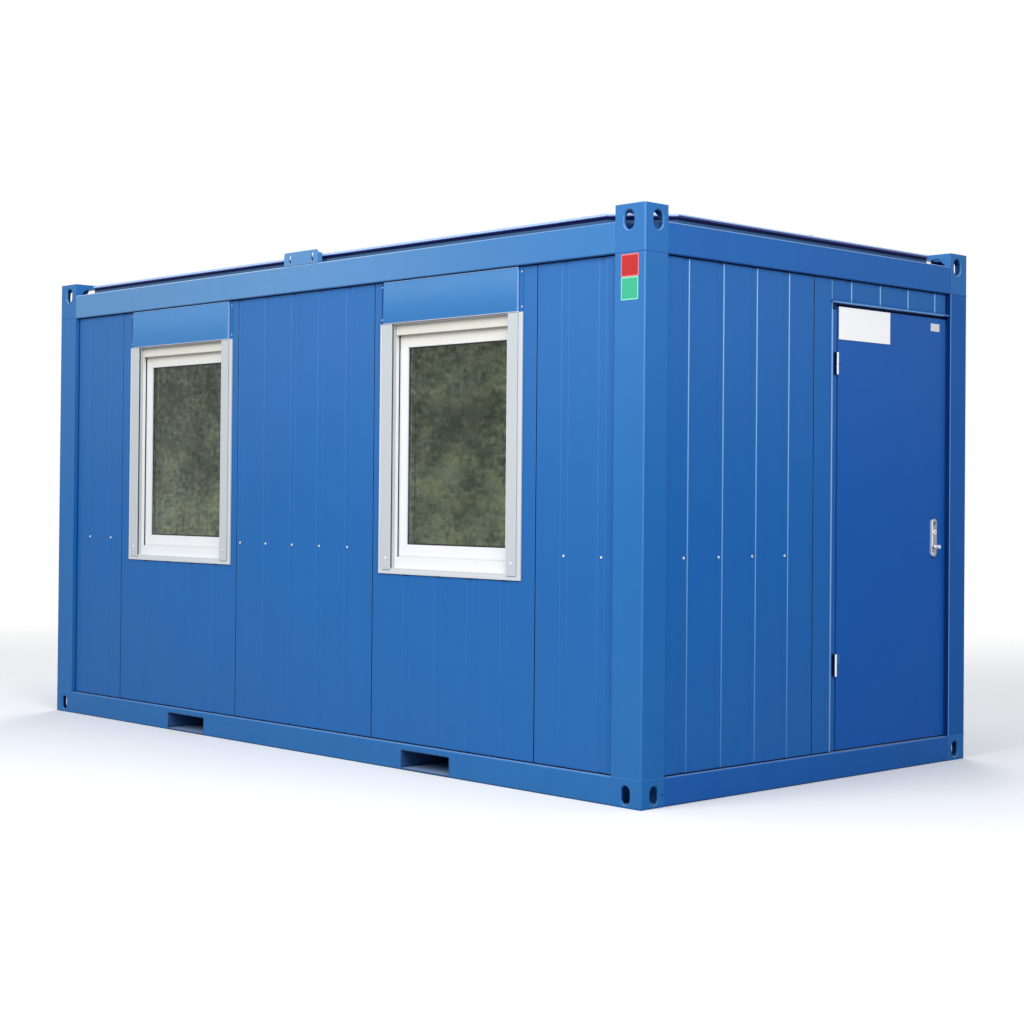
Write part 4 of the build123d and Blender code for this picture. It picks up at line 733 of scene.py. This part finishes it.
# The rim's foot is painted navy, a painted shade, reaching higher on the ends.
tree, axes = roof_zinc.node_tree, axes_of(roof_zinc)
on_end = fade(size_of(lean_of(tree)["X"]), 0.5, 0.9)
shade_top = times_plus(on_end, RIM_SHADE_MORE_ON_ENDS, rim_foot + RIM_SHADE_ON_SIDES)
above_shade = minus(axes["Z"], shade_top)
rim_shaded = fade(above_shade, RIM_SHADE_BLUR, -RIM_SHADE_BLUR)
paint(roof_zinc, (rim_shaded, RIM_SHADE_NAVY))
dress(roof_zinc, "roof_sheet")

band_coat = enamelled("roof_band_coat", BAND_SLATE, bend_highlight=0.0, Roughness=0.5, Dust=0.0)
# The band's upper part is painted navy, a painted shade.
axes = axes_of(band_coat)
paint(band_coat, (fade(axes["Z"], *(rim_foot - drop for drop in BAND_SHADE_DROPS)), BAND_SHADE_NAVY))
dress(band_coat, "roof_edge_band")

# ------------------------------
# Windows: white extruded plastic frames and sashes with welded mitres, black
# rubber seals, an aluminium spacer and clear double glazing. Each sash has a
# turning handle on the room side.
# ------------------------------
GUIDE_GROOVE = 0.012
frames_low, frames_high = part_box("window_frames")
trims_low, trims_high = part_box("window_trims")
TRIM_HALF = 0.5125
WINDOW_X = trims_high.x - TRIM_HALF
FRAME_HALF_WIDTH = frames_high.x - WINDOW_X
WINDOW_MIDDLE = (frames_low.z + frames_high.z) / 2
FRAME_HALF_HEIGHT = (frames_high.z - frames_low.z) / 2
WELD_HALF = 0.0007
PVC_WHITE = (236, 238, 240)

PVC_GRAIN = {"Scale": 90.0, "Variation": 0.02, "Roughness": 0.3}
# The frames' heads are painted warmer and darker: painted shade under the covers.
PVC_HEAD_SHADE = (224, 220, 208)
HEAD_SHADE_DROPS = (0.16, 0.05)  # below the frames' top
WELD_GREY = (150, 148, 144)
window_white = moulded(
    "window_plastic",
    PVC_WHITE,
    corner=((170, 168, 164), 0.1),
    bump=0.0001,
    radius=0.003,
    settings=PVC_GRAIN,
    Specular_IOR_Level=0.3,
)
axes = axes_of(window_white)
sideways = size_of(minus(size_of(axes["X"]), WINDOW_X))
upward = size_of(minus(axes["Z"], WINDOW_MIDDLE))
off_weld = plus(minus(sideways, upward), FRAME_HALF_HEIGHT - FRAME_HALF_WIDTH)
on_weld = below(size_of(off_weld), WELD_HALF)
head_shade = times(fade(axes["Z"], *(frames_high.z - drop for drop in HEAD_SHADE_DROPS)), 0.9)
paint(window_white, (head_shade, PVC_HEAD_SHADE), (times(on_weld, 0.5), WELD_GREY))
dress(window_white, "window_frames", "window_sashes")
dress(rubber, "window_seals")
satin_grain = {"Stretch": (1, 1, 12), "Scale": 80.0, "Roughness": 0.35}
satin = moulded(
    "satin_aluminium", (206, 209, 212), corner=((60, 62, 66), 0.3), settings=satin_grain, Metallic=0.2
)
dress(satin, "window_spacers")

# Clear glass whose tint and gloss carry a painted reflection of dim greenery in leafy
# patches, paler low down and darker on the far window, with a painted dark strip and two painted pale lines
# along one edge.
GLAZING_COVER = 0.010
SIGHT_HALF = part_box("window_glass")[1].x - WINDOW_X - GLAZING_COVER
EDGE_SHADE_STRIP = 0.046
FIRST_REFLECTED_LINE, SECOND_REFLECTED_LINE = (0.020, 0.0036), (0.036, 0.0034)  # middle, and half width
DIM_REFLECTION_TINT, GREEN_REFLECTION_TINT, YELLOW_REFLECTION_TINT = (0.24, 0.31, 0.25, 1), (0.86, 1.0, 0.92, 1), (0.98, 1.0, 0.74, 1)
MIRRORED_DIM, MIRRORED_BRIGHT = (0.14, 0.18, 0.14, 1), (0.92, 1.0, 0.80, 1)
glass, glass_shader = principled("clear_glass", Roughness=0.0, IOR=1.45, Transmission_Weight=1.0)
tree = glass.node_tree
place, axes = place_and_axes(tree)
broad = clouds(place, 4.5, 3.0)
leafy = clouds(place, 32.0, 9.0, (1.0, 1.0, 1.2))
leafy_reflection = times_plus(leafy, 2.4, times_plus(broad, 1.3, 0.54), clamp=True)
reflection_darker_far = times_plus(below(axes["X"], 0.0), -0.12, leafy_reflection)
reflection_paler_low = times_plus(fade(axes["Z"], 1.80, 1.15), 0.33, reflection_darker_far, clamp=True)
yellower_reflection = times_plus(clouds(place, 9.0, 4.0), 2.0, 0.5, clamp=True)
reflection_tint = mixed(reflection_paler_low, DIM_REFLECTION_TINT, mixed(yellower_reflection, GREEN_REFLECTION_TINT, YELLOW_REFLECTION_TINT))
sight_left = minus(size_of(axes["X"]), WINDOW_X)
across_pane = times(sight_left, arith("SIGN", axes["X"]))
from_edge = minus(across_pane, -SIGHT_HALF)
reflected_lines = larger(
    *(below(size_of(minus(from_edge, middle)), half) for middle, half in (FIRST_REFLECTED_LINE, SECOND_REFLECTED_LINE))
)
on_reflected_lines = times(reflected_lines, 0.8)
tree.links.new(mixed(on_reflected_lines, reflection_tint, (0.95, 0.97, 0.97, 1)), glass_shader.inputs["Base Color"])
on_shade_strip = times(below(from_edge, EDGE_SHADE_STRIP), 0.8)
shade_strip_gloss = mixed(on_shade_strip, mixed(reflection_paler_low, MIRRORED_DIM, MIRRORED_BRIGHT), (0.02, 0.02, 0.02, 1))
tree.links.new(mixed(on_reflected_lines, shade_strip_gloss, (1, 1, 1, 1)), glass_shader.inputs["Specular Tint"])
dress(glass, "window_glass")

HANDLE_FROM_EDGE = 0.035
HANDLE_PARTS = (  # half width, from and to depth in the room, from and to height about the middle
    (0.014, 0.0, 0.010, -0.033, 0.033),
    (0.009, 0.010, 0.034, -0.009, 0.009),
    (0.010, 0.034, 0.048, -0.118, 0.010),
)
sash_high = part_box("window_sashes")[1]
handles = bmesh.new()
for window_x in (-WINDOW_X, WINDOW_X):
    handle_x = window_x + sash_high.x - WINDOW_X - HANDLE_FROM_EDGE
    for half, from_y, to_y, from_z, to_z in HANDLE_PARTS:
        low = (handle_x - half, sash_high.y + from_y, WINDOW_MIDDLE + from_z)
        high = (handle_x + half, sash_high.y + to_y, WINDOW_MIDDLE + to_z)
        box_into(handles, low, high)
piece("window_handles", handles, window_white, bevel=0.003, segments=3)

# ------------------------------
# Roller shutters: a plastic box in the wall, the rolled curtain of narrow
# slats, a blue sheet cover with four screws and pale aluminium guides with
# black brushes and white capped screws.
# ------------------------------
SLAT = 0.037
SLAT_DEPTH = 0.002
shutter_grey = moulded("shutter_plastic", (206, 208, 210), settings={"Roughness": 0.45})
dress(shutter_grey, "shutter_boxes")
slats = moulded("shutter_slats", (198, 201, 204), settings={"Roughness": 0.42})
tree, axes = slats.node_tree, axes_of(slats)
relief = next(made for made in tree.nodes if made.bl_idname == "ShaderNodeBump")
relief.inputs["Distance"].default_value = SLAT_DEPTH
tree.links.new(arith("SINE", times(axes["Z"], 2 * math.pi / SLAT)), relief.inputs["Height"])
dress(slats, "shutter_rolls")
# The covers' face is paler than the frame, partly its own tone and partly a painted sheen; it is painted
# darker towards its foot, a painted shade, and lighter on the far window, painted light.
COVER_BLUE_WITH_SHEEN, COVER_FOOT_SHADE = (76, 134, 192), (48, 112, 174)
COVER_FOLD_HIGHLIGHT = ((150, 190, 236), 0.6)
FLANGE_BLUE, FLANGE_SHADE = (48, 110, 176), (14, 50, 116)
LIP_HEIGHT = 0.0022
LIP_HIGHLIGHT_PINK = (236, 226, 236)
COVER_HALF = 0.4845
COVER_EDGE = 0.0026
COVER_EDGE_HIGHLIGHT = (176, 206, 238)
FAR_COVER_LIGHT = (114, 183, 240)
FAR_COVER_LIGHT_SHARE = 0.1
cover_coat = enamelled("cover_coat", COVER_BLUE_WITH_SHEEN, 0.001, 0.0025, COVER_FOLD_HIGHLIGHT, Roughness=0.34, Dust=0.0)
axes = axes_of(cover_coat)
cover_low, cover_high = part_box("shutter_covers")
foot_shade = times(fade(axes["Z"], cover_high.z, cover_low.z), 0.8)
far_cover_lit = times(below(axes["X"], 0.0), FAR_COVER_LIGHT_SHARE)
in_front = below(axes["Y"], -SIDE + RECESS - 0.004)
from_window = minus(size_of(axes["X"]), WINDOW_X)
signed_side = times(from_window, arith("SIGN", axes["X"]))
# Pale lines on the top and right folds and on the lip are painted highlights; the flange beside the cheek
# takes a painted shade.
at_right = above(signed_side, COVER_HALF - COVER_EDGE / 2)
at_top = above(axes["Z"], cover_high.z - COVER_EDGE)
highlit_folds = times(larger(at_right, at_top), in_front)
on_lip = below(axes["Z"], cover_low.z + LIP_HEIGHT)
fold_shade = fade(signed_side, COVER_HALF + 0.005, COVER_HALF + 0.003)
on_flange = above(size_of(from_window), COVER_HALF + 0.0003)
paint(
    cover_coat,
    (foot_shade, COVER_FOOT_SHADE),
    (far_cover_lit, FAR_COVER_LIGHT),
    (times(highlit_folds, 0.7), COVER_EDGE_HIGHLIGHT),
    (on_lip, LIP_HIGHLIGHT_PINK),
    (on_flange, FLANGE_BLUE),
    (times(times(on_flange, fold_shade), 0.6), FLANGE_SHADE),
)
dress(cover_coat, "shutter_covers")
# Guides and trims carry a painted highlight on their edges and a painted shade in their corners.
GUIDE_EDGE_HIGHLIGHT, GUIDE_CORNER_SHADE = ((250, 251, 252), 0.9), ((130, 132, 136), 0.2)
guide_grain = {"Stretch": (6, 6, 0.3), "Scale": 40.0, "Variation": 0.05, "Roughness": 0.4}
guide_coat = moulded(
    "guide_coat", (194, 201, 205), GUIDE_EDGE_HIGHLIGHT, GUIDE_CORNER_SHADE, radius=0.002, settings=guide_grain, Metallic=0.1
)
dress(guide_coat, "shutter_guides")
TRIM_EDGE_HIGHLIGHT, TRIM_CORNER_SHADE = ((246, 248, 250), 0.8), ((150, 152, 156), 0.1)
trim_grain = {"Scale": 40.0, "Variation": 0.04}
trim_coat = moulded("trim_coat", (208, 213, 216), TRIM_EDGE_HIGHLIGHT, TRIM_CORNER_SHADE, settings=trim_grain)
dress(trim_coat, "window_trims")

BRUSH_INSET, BRUSH_DEPTH, BRUSH_THICKNESS = 0.007, 0.0235, 0.003
BRUSH_SHORTER = 0.004
GUIDE_SCREW_FROM_MIDDLE, GUIDE_SCREW_LEVEL = 0.452, 1.021
COVER_SCREW_FROM_MIDDLE, COVER_SCREW_LEVELS = 0.504, (2.355, 2.195)
GUIDE_SCREW, COVER_SCREW = (0.0075, 0.003), (0.0042, 0.0025)  # radius and height
GUIDE_INNER = 0.4186
BRUSH_SPAN = (GUIDE_INNER + BRUSH_INSET, GUIDE_INNER + GUIDE_GROOVE)
brush_y = -SIDE + BRUSH_DEPTH
brush_low, brush_high = frames_low.z + BRUSH_SHORTER, frames_high.z - BRUSH_SHORTER
guide_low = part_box("shutter_guides")[0]
brushes = bmesh.new()
guide_screws = bmesh.new()
cover_screws = bmesh.new()
for window_x in (-WINDOW_X, WINDOW_X):
    for hand in (-1, 1):
        from_x, to_x = (window_x + reach for reach in span(hand, *BRUSH_SPAN))
        box_into(brushes, (from_x, brush_y, brush_low), (to_x, brush_y + BRUSH_THICKNESS, brush_high))
        guide_screw = (window_x + hand * GUIDE_SCREW_FROM_MIDDLE, guide_low.y, GUIDE_SCREW_LEVEL)
        screw_into(guide_screws, guide_screw, (0, -1, 0), *GUIDE_SCREW)
        for level in COVER_SCREW_LEVELS:
            cover_screw = (window_x + hand * COVER_SCREW_FROM_MIDDLE, -SIDE + RECESS - 0.002, level)
            screw_into(cover_screws, cover_screw, (0, -1, 0), *COVER_SCREW)
piece("guide_brushes", brushes, rubber)
white_cap = moulded("white_caps", (240, 241, 243), settings={"Roughness": 0.35})
piece("guide_screws", guide_screws, white_cap)
piece("cover_screws", cover_screws, zinc)

# Dark plugs in the pressed bands under the window trims stand for the shade in the grooves there: painted
# shade.
PLUG_HALF = 0.019
PLUG_RISE = 0.005
plug_front, plug_back = -SIDE + RECESS + 0.0005, -SIDE + RECESS + BAND_DEPTH + 0.001
shade_plugs = bmesh.new()
for band_x in side_bands:
    if abs(abs(band_x) - WINDOW_X) < TRIM_HALF - PLUG_HALF:
        low = (band_x - PLUG_HALF, plug_front, trims_low.z - PLUG_RISE)
        box_into(shade_plugs, low, (band_x + PLUG_HALF, plug_back, trims_low.z + PLUG_RISE))
piece("band_shade_plugs", shade_plugs, joint_and_shade_rubber)

# ------------------------------
# Door: a flat steel leaf in a folded frame with a drip cap, hung on two pin
# hinges. Only the hinge barrels are bare steel, their straps are sprayed over
# with the leaf.
# ------------------------------
DOOR_BLUE = (26, 94, 174)
JAMB_FOLD_HIGHLIGHT = (150, 190, 236)
leaf_low, leaf_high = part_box("door_leaf")
# The leaf's edges carry a painted highlight.
LEAF_EDGE_HIGHLIGHT = ((92, 150, 216), 0.5)
leaf_skin = enamelled("door_coat", DOOR_BLUE, 0.0015, 0.003, LEAF_EDGE_HIGHLIGHT, Dust=0.06, Roughness=0.36)
door_coat = with_inner_skin(leaf_skin, leaf_low.x + INSIDE_MARGIN, SIDE)
# The top of the leaf is painted dark: the drip cap's painted shadow.
DRIP_SHADOW_NAVY = (4, 14, 66)
axes = axes_of(door_coat)
paint(door_coat, (times(above(axes["Z"], leaf_high.z - 0.003), 0.8), DRIP_SHADOW_NAVY))
dress(door_coat, "door_leaf")

# The drip cap is painted brighter than the folded frame, a painted sky light, with a painted highlight on its
# lower edge and a painted shadow below it; the jamb's bead carries a painted highlight.
DRIP_HEIGHT = 0.013
DRIP_REACH = 0.018
CAP_SKYLIT_BLUE, CAP_EDGE_HIGHLIGHT = (48, 124, 204), (140, 190, 240)
CAP_EDGE_HEIGHT = 0.0035
CAP_ENDS_BEFORE = 0.045
DRIP_SHADOW_HEIGHT = 0.020
JAMB_BEAD = 0.003
JAMB_EDGE_HIGHLIGHT, JAMB_CORNER_SHADE = (JAMB_FOLD_HIGHLIGHT, 0.75), (CORNER_SHADE_NAVY, 0.8)
door_frame_enamel = enamelled(
    "door_frame_enamel", (32, 98, 172), radius=0.003, edge=JAMB_EDGE_HIGHLIGHT, corner=JAMB_CORNER_SHADE, Roughness=0.34
)
axes = axes_of(door_frame_enamel)
frame_low, frame_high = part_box("door_frame")
cap_foot = frame_high.z - DRIP_HEIGHT
proud = above(axes["X"], frame_high.x - DRIP_REACH)
at_cap = above(axes["Z"], cap_foot - HAIR)
short_of_post = below(axes["Y"], leaf_high.y - CAP_ENDS_BEFORE)
on_cap = times(times(proud, at_cap), short_of_post)
cap_edge_lit = times(on_cap, below(axes["Z"], cap_foot + CAP_EDGE_HEIGHT))
below_cap = below(axes["Z"], cap_foot - HAIR)
above_leaf = above(axes["Z"], leaf_high.z - DRIP_SHADOW_HEIGHT)
drip_shadow = times(times(below_cap, above_leaf), 0.85)
jamb_bead_lit = times(below_cap, below(axes["Y"], frame_low.y + JAMB_BEAD))
paint(
    door_frame_enamel,
    (times(on_cap, 0.7), CAP_SKYLIT_BLUE),
    (cap_edge_lit, CAP_EDGE_HIGHLIGHT),
    (drip_shadow, DRIP_SHADOW_NAVY),
    (times(jamb_bead_lit, 0.6), JAMB_FOLD_HIGHLIGHT),
)
dress(door_frame_enamel, "door_frame")

BARREL_RADIUS = 0.0113
BARREL_SHADE_FROM = 0.62
hinge_axis = next(j for j in frame["record"]["behaviour"]["joints"] if j["name"] == "door_hinge")["pos_m"]
BARREL_SHADE = (12, 36, 88)
hinge_steel = moulded(
    "hinge_steel", (240, 242, 244), corner=((20, 26, 44), 0.9), settings={"Roughness": 0.25}, Metallic=0.9
)
# One side of each barrel is painted dark, a painted shade; past the barrel the straps take the leaf's blue.
axes = axes_of(hinge_steel)
off_x = minus(axes["X"], hinge_axis[0])
off_y = minus(axes["Y"], hinge_axis[1])
off_axis = arith("SQRT", times_plus(off_x, off_x, times(off_y, off_y)))
past_barrel = above(off_axis, BARREL_RADIUS)
barrel_shaded_side = above(times(off_y, -1.0), BARREL_RADIUS * BARREL_SHADE_FROM)
paint(hinge_steel, (barrel_shaded_side, BARREL_SHADE), (past_barrel, DOOR_BLUE))
dress(hinge_steel, "door_frame_hinges", "door_leaf_hinges")

# ------------------------------
# Lock: long satin plates with a profile cylinder, a short outer knob and an
# inner lever, a forend with its latch in the leaf's edge and a strike plate in
# the jamb.
# ------------------------------
brushed = {"Stretch": (1, 1, 0.04), "Scale": 900.0, "Variation": 0.12, "Roughness": 0.3}
PLATE_EDGE_HIGHLIGHT, PLATE_CORNER_SHADE = ((170, 178, 188), 0.7), ((30, 34, 44), 0.8)
lock_steel = moulded(
    "lock_steel", (150, 156, 164), PLATE_EDGE_HIGHLIGHT, PLATE_CORNER_SHADE, 0.00005, settings=brushed, Metallic=0.6
)
plates_low, plates_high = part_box("door_lock_plates")
axes = axes_of(lock_steel)
# The plates' edge towards the hinges is painted nearly white: a painted highlight.
paint(lock_steel, (fade(axes["Y"], plates_low.y + 0.013, plates_low.y + 0.007), (246, 244, 250)))
dress(lock_steel, "door_lock_plates")
polished = {"Roughness": 0.2, "Scale": 200.0}
nickel = moulded("nickel", (246, 247, 249), corner=((40, 42, 46), 0.5), settings=polished, Metallic=0.2)
dress(nickel, "door_lock_cylinder", "door_lever")
cylinder_low, cylinder_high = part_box("door_lock_cylinder")
lock_y = (plates_low.y + plates_high.y) / 2
cylinder_level = (cylinder_low.z + cylinder_high.z) / 2
DISC_SIDES = 28


def disc_into(mesh, centre, normal, radius, height, edge=0.0):
    """A flat disc with a small bevel, standing on a face."""
    profile = ((radius, 0.0), (radius, height - edge), (radius - edge, height))
    turned_into(mesh, centre, normal, profile, DISC_SIDES)


MARK_RISE, MARK_RADIUS = 0.045, 0.012
green_mark = bmesh.new()
mark_place = (plates_high.x, lock_y, cylinder_level + MARK_RISE)
disc_into(green_mark, mark_place, (1, 0, 0), MARK_RADIUS, 0.0006, 0.0003)
green_film = moulded("green_mark", (22, 122, 98), settings={"Roughness": 0.4})
piece("lock_green_mark", green_mark, green_film, body="door")

# A black keyway insert, and a black slot beside the knob that is the knob's painted shadow.
KEYWAY_RADIUS = 0.0042
KNOB_SHADOW_HALF, KNOB_SHADOW_SHIFT = 0.0035, 0.013
KNOB_SHADOW_BELOW, KNOB_SHADOW_ABOVE = 0.028, 0.004  # about the spindle
SPINDLE_LEVEL = 1.092
keyway_and_knob_shadow = bmesh.new()
disc_into(keyway_and_knob_shadow, (cylinder_high.x - 0.0006, lock_y, cylinder_level), (1, 0, 0), KEYWAY_RADIUS, 0.0008)
knob_shadow_y = lock_y - KNOB_SHADOW_SHIFT
box_into(
    keyway_and_knob_shadow,
    (plates_high.x - 0.001, knob_shadow_y - KNOB_SHADOW_HALF, SPINDLE_LEVEL - KNOB_SHADOW_BELOW),
    (plates_high.x + 0.0004, knob_shadow_y + KNOB_SHADOW_HALF, SPINDLE_LEVEL + KNOB_SHADOW_ABOVE),
)
piece("lock_keyway_and_knob_shadow", keyway_and_knob_shadow, rubber, body="door")

PLATE_SCREW = (0.0042, 0.0014)
plate_screws = bmesh.new()
for level in (plates_low.z + 0.014, plates_high.z - 0.010):
    screw_into(plate_screws, (plates_high.x, lock_y, level), (1, 0, 0), *PLATE_SCREW)
    screw_into(plate_screws, (plates_low.x, lock_y, level), (-1, 0, 0), *PLATE_SCREW)
piece("lock_plate_screws", plate_screws, zinc, body="door")

LATCH_X = (leaf_low.x + leaf_high.x) / 2
lock_edge = leaf_high.y


def box_at_latch(mesh, half, from_y, to_y, from_z, to_z):
    """Add a box about the latch's plane; its heights are from the cylinder's level."""
    low = (LATCH_X - half, from_y, cylinder_level + from_z)
    box_into(mesh, low, (LATCH_X + half, to_y, cylinder_level + to_z))


forend = bmesh.new()
box_at_latch(forend, 0.010, lock_edge - 0.0005, lock_edge + 0.001, -0.155, 0.080)
box_at_latch(forend, 0.006, lock_edge + 0.001, lock_edge + 0.005, -0.090, -0.058)
for level in (cylinder_level - 0.145, cylinder_level + 0.070):
    screw_into(forend, (LATCH_X, lock_edge + 0.001, level), (0, 1, 0), 0.0035, 0.0008)
piece("lock_forend", forend, lock_steel, body="door", bevel=0.0004)

jamb_face = SIDE - block_y - 0.002
strike = bmesh.new()
box_at_latch(strike, 0.012, jamb_face - 0.001, jamb_face + 0.0005, -0.100, -0.050)
piece("lock_strike", strike, lock_steel, bevel=0.0004)

# ------------------------------
# Door seals and threshold: a rubber bulb round the stops that the leaf closes
# on, and a thin ribbed aluminium strip over the rail at the foot.
# ------------------------------
STOP_FACE = leaf_low.x - 0.005
BULB_THICKNESS = 0.004
BULB_WIDTH = 0.009
BULB_FROM_EDGE = 0.009
door_seal = bmesh.new()
bulb_outer_y = (leaf_low.y + BULB_FROM_EDGE - BULB_WIDTH / 2, leaf_high.y - BULB_FROM_EDGE + BULB_WIDTH / 2)
bulb_top = leaf_high.z - BULB_FROM_EDGE + BULB_WIDTH / 2
for from_y, to_y, from_z, to_z in (
    (bulb_outer_y[0], bulb_outer_y[0] + BULB_WIDTH, leaf_low.z, bulb_top),
    (bulb_outer_y[1] - BULB_WIDTH, bulb_outer_y[1], leaf_low.z, bulb_top),
    (bulb_outer_y[0] + BULB_WIDTH, bulb_outer_y[1] - BULB_WIDTH, bulb_top - BULB_WIDTH, bulb_top),
):
    box_into(door_seal, (STOP_FACE, from_y, from_z), (STOP_FACE + BULB_THICKNESS, to_y, to_z))
piece("door_seal", door_seal, rubber, bevel=0.0015, segments=3)

THRESHOLD_THICKNESS = 0.001
threshold = bmesh.new()
threshold_top = RAIL_TOP + THRESHOLD_THICKNESS
box_into(threshold, (STOP_FACE, leaf_low.y, RAIL_TOP), (END - RECESS, leaf_high.y, threshold_top))
ribs = {"Stretch": (40, 0.5, 1), "Scale": 12.0, "Variation": 0.1, "Roughness": 0.35}
ribbed = moulded("ribbed_aluminium", (190, 194, 198), bump=0.0006, settings=ribs, Metallic=0.9)
piece("door_threshold", threshold, ribbed, bevel=0.0003)

# ------------------------------
# Plates and labels: a bare white plate and a small silver one on the leaf, and
# two plain colour labels with paler borders on the corner post.
# ------------------------------
# The plates take no painted shade in their corners.
NO_CORNER_SHADE = ((160, 160, 164), 0.0)
film_grain = {"Scale": 25.0, "Variation": 0.01, "Roughness": 0.5}
# The white plate glows faintly: painted light.
white_glowing_film = moulded(
    "white_glowing_film",
    (253, 253, 254),
    corner=NO_CORNER_SHADE,
    settings=film_grain,
    bump=0.00001,
    Emission_Color=(1.0, 1.0, 1.0, 1.0),
    Emission_Strength=0.1,
)
dress(white_glowing_film, "door_sign_plate")
silver_grain = {"Scale": 120.0, "Roughness": 0.35}
silver_film = moulded(
    "silver_film", (222, 225, 229), ((246, 248, 250), 0.6), NO_CORNER_SHADE, settings=silver_grain, Metallic=0.3
)
dress(silver_film, "door_small_plate")

LABEL_BORDER = 0.006
LABEL_CORNER = 0.006
LABEL_THICKNESS = 0.0002


def rounded_plate(name, low, high, corner_radius, thickness, rgb):
    """A thin rounded plate on the long side's outer plane, between two (x, z) corners."""
    outline = []
    for turn, (right, top) in enumerate(((1, 1), (0, 1), (0, 0), (1, 0))):
        centre_x = high[0] - corner_radius if right else low[0] + corner_radius
        centre_z = high[1] - corner_radius if top else low[1] + corner_radius
        for k in range(5):
            angle = QUARTER_TURN * (turn + k / 4)
            out_x, out_z = corner_radius * math.cos(angle), corner_radius * math.sin(angle)
            outline.append((centre_x + out_x, centre_z + out_z))
    mesh = bmesh.new()
    back = [mesh.verts.new((x, -SIDE, z)) for x, z in outline]
    front = [mesh.verts.new((x, -SIDE - thickness, z)) for x, z in outline]
    mesh.faces.new(back)
    mesh.faces.new(list(reversed(front)))
    for k in range(len(outline)):
        after = (k + 1) % len(outline)
        mesh.faces.new((back[k], front[k], front[after], back[after]))
    film = moulded(name + "_film", rgb, settings={"Scale": 60.0, "Variation": 0.06, "Roughness": 0.35})
    piece(name, mesh, film)


for label_name, low, high, face_rgb, border_rgb in (
    ("red_label", (END - 0.140, 2.276), (END - 0.035, 2.375), (186, 18, 22), (226, 116, 118)),
    ("green_label", (END - 0.140, 2.176), (END - 0.037, 2.276), (46, 178, 134), (130, 224, 190)),
):
    rounded_plate(label_name + "_border", low, high, LABEL_CORNER, LABEL_THICKNESS, border_rgb)
    rounded_plate(
        label_name,
        (low[0] + LABEL_BORDER, low[1] + LABEL_BORDER),
        (high[0] - LABEL_BORDER, high[1] - LABEL_BORDER),
        LABEL_CORNER / 2,
        LABEL_THICKNESS * 1.5,
        face_rgb,
    )
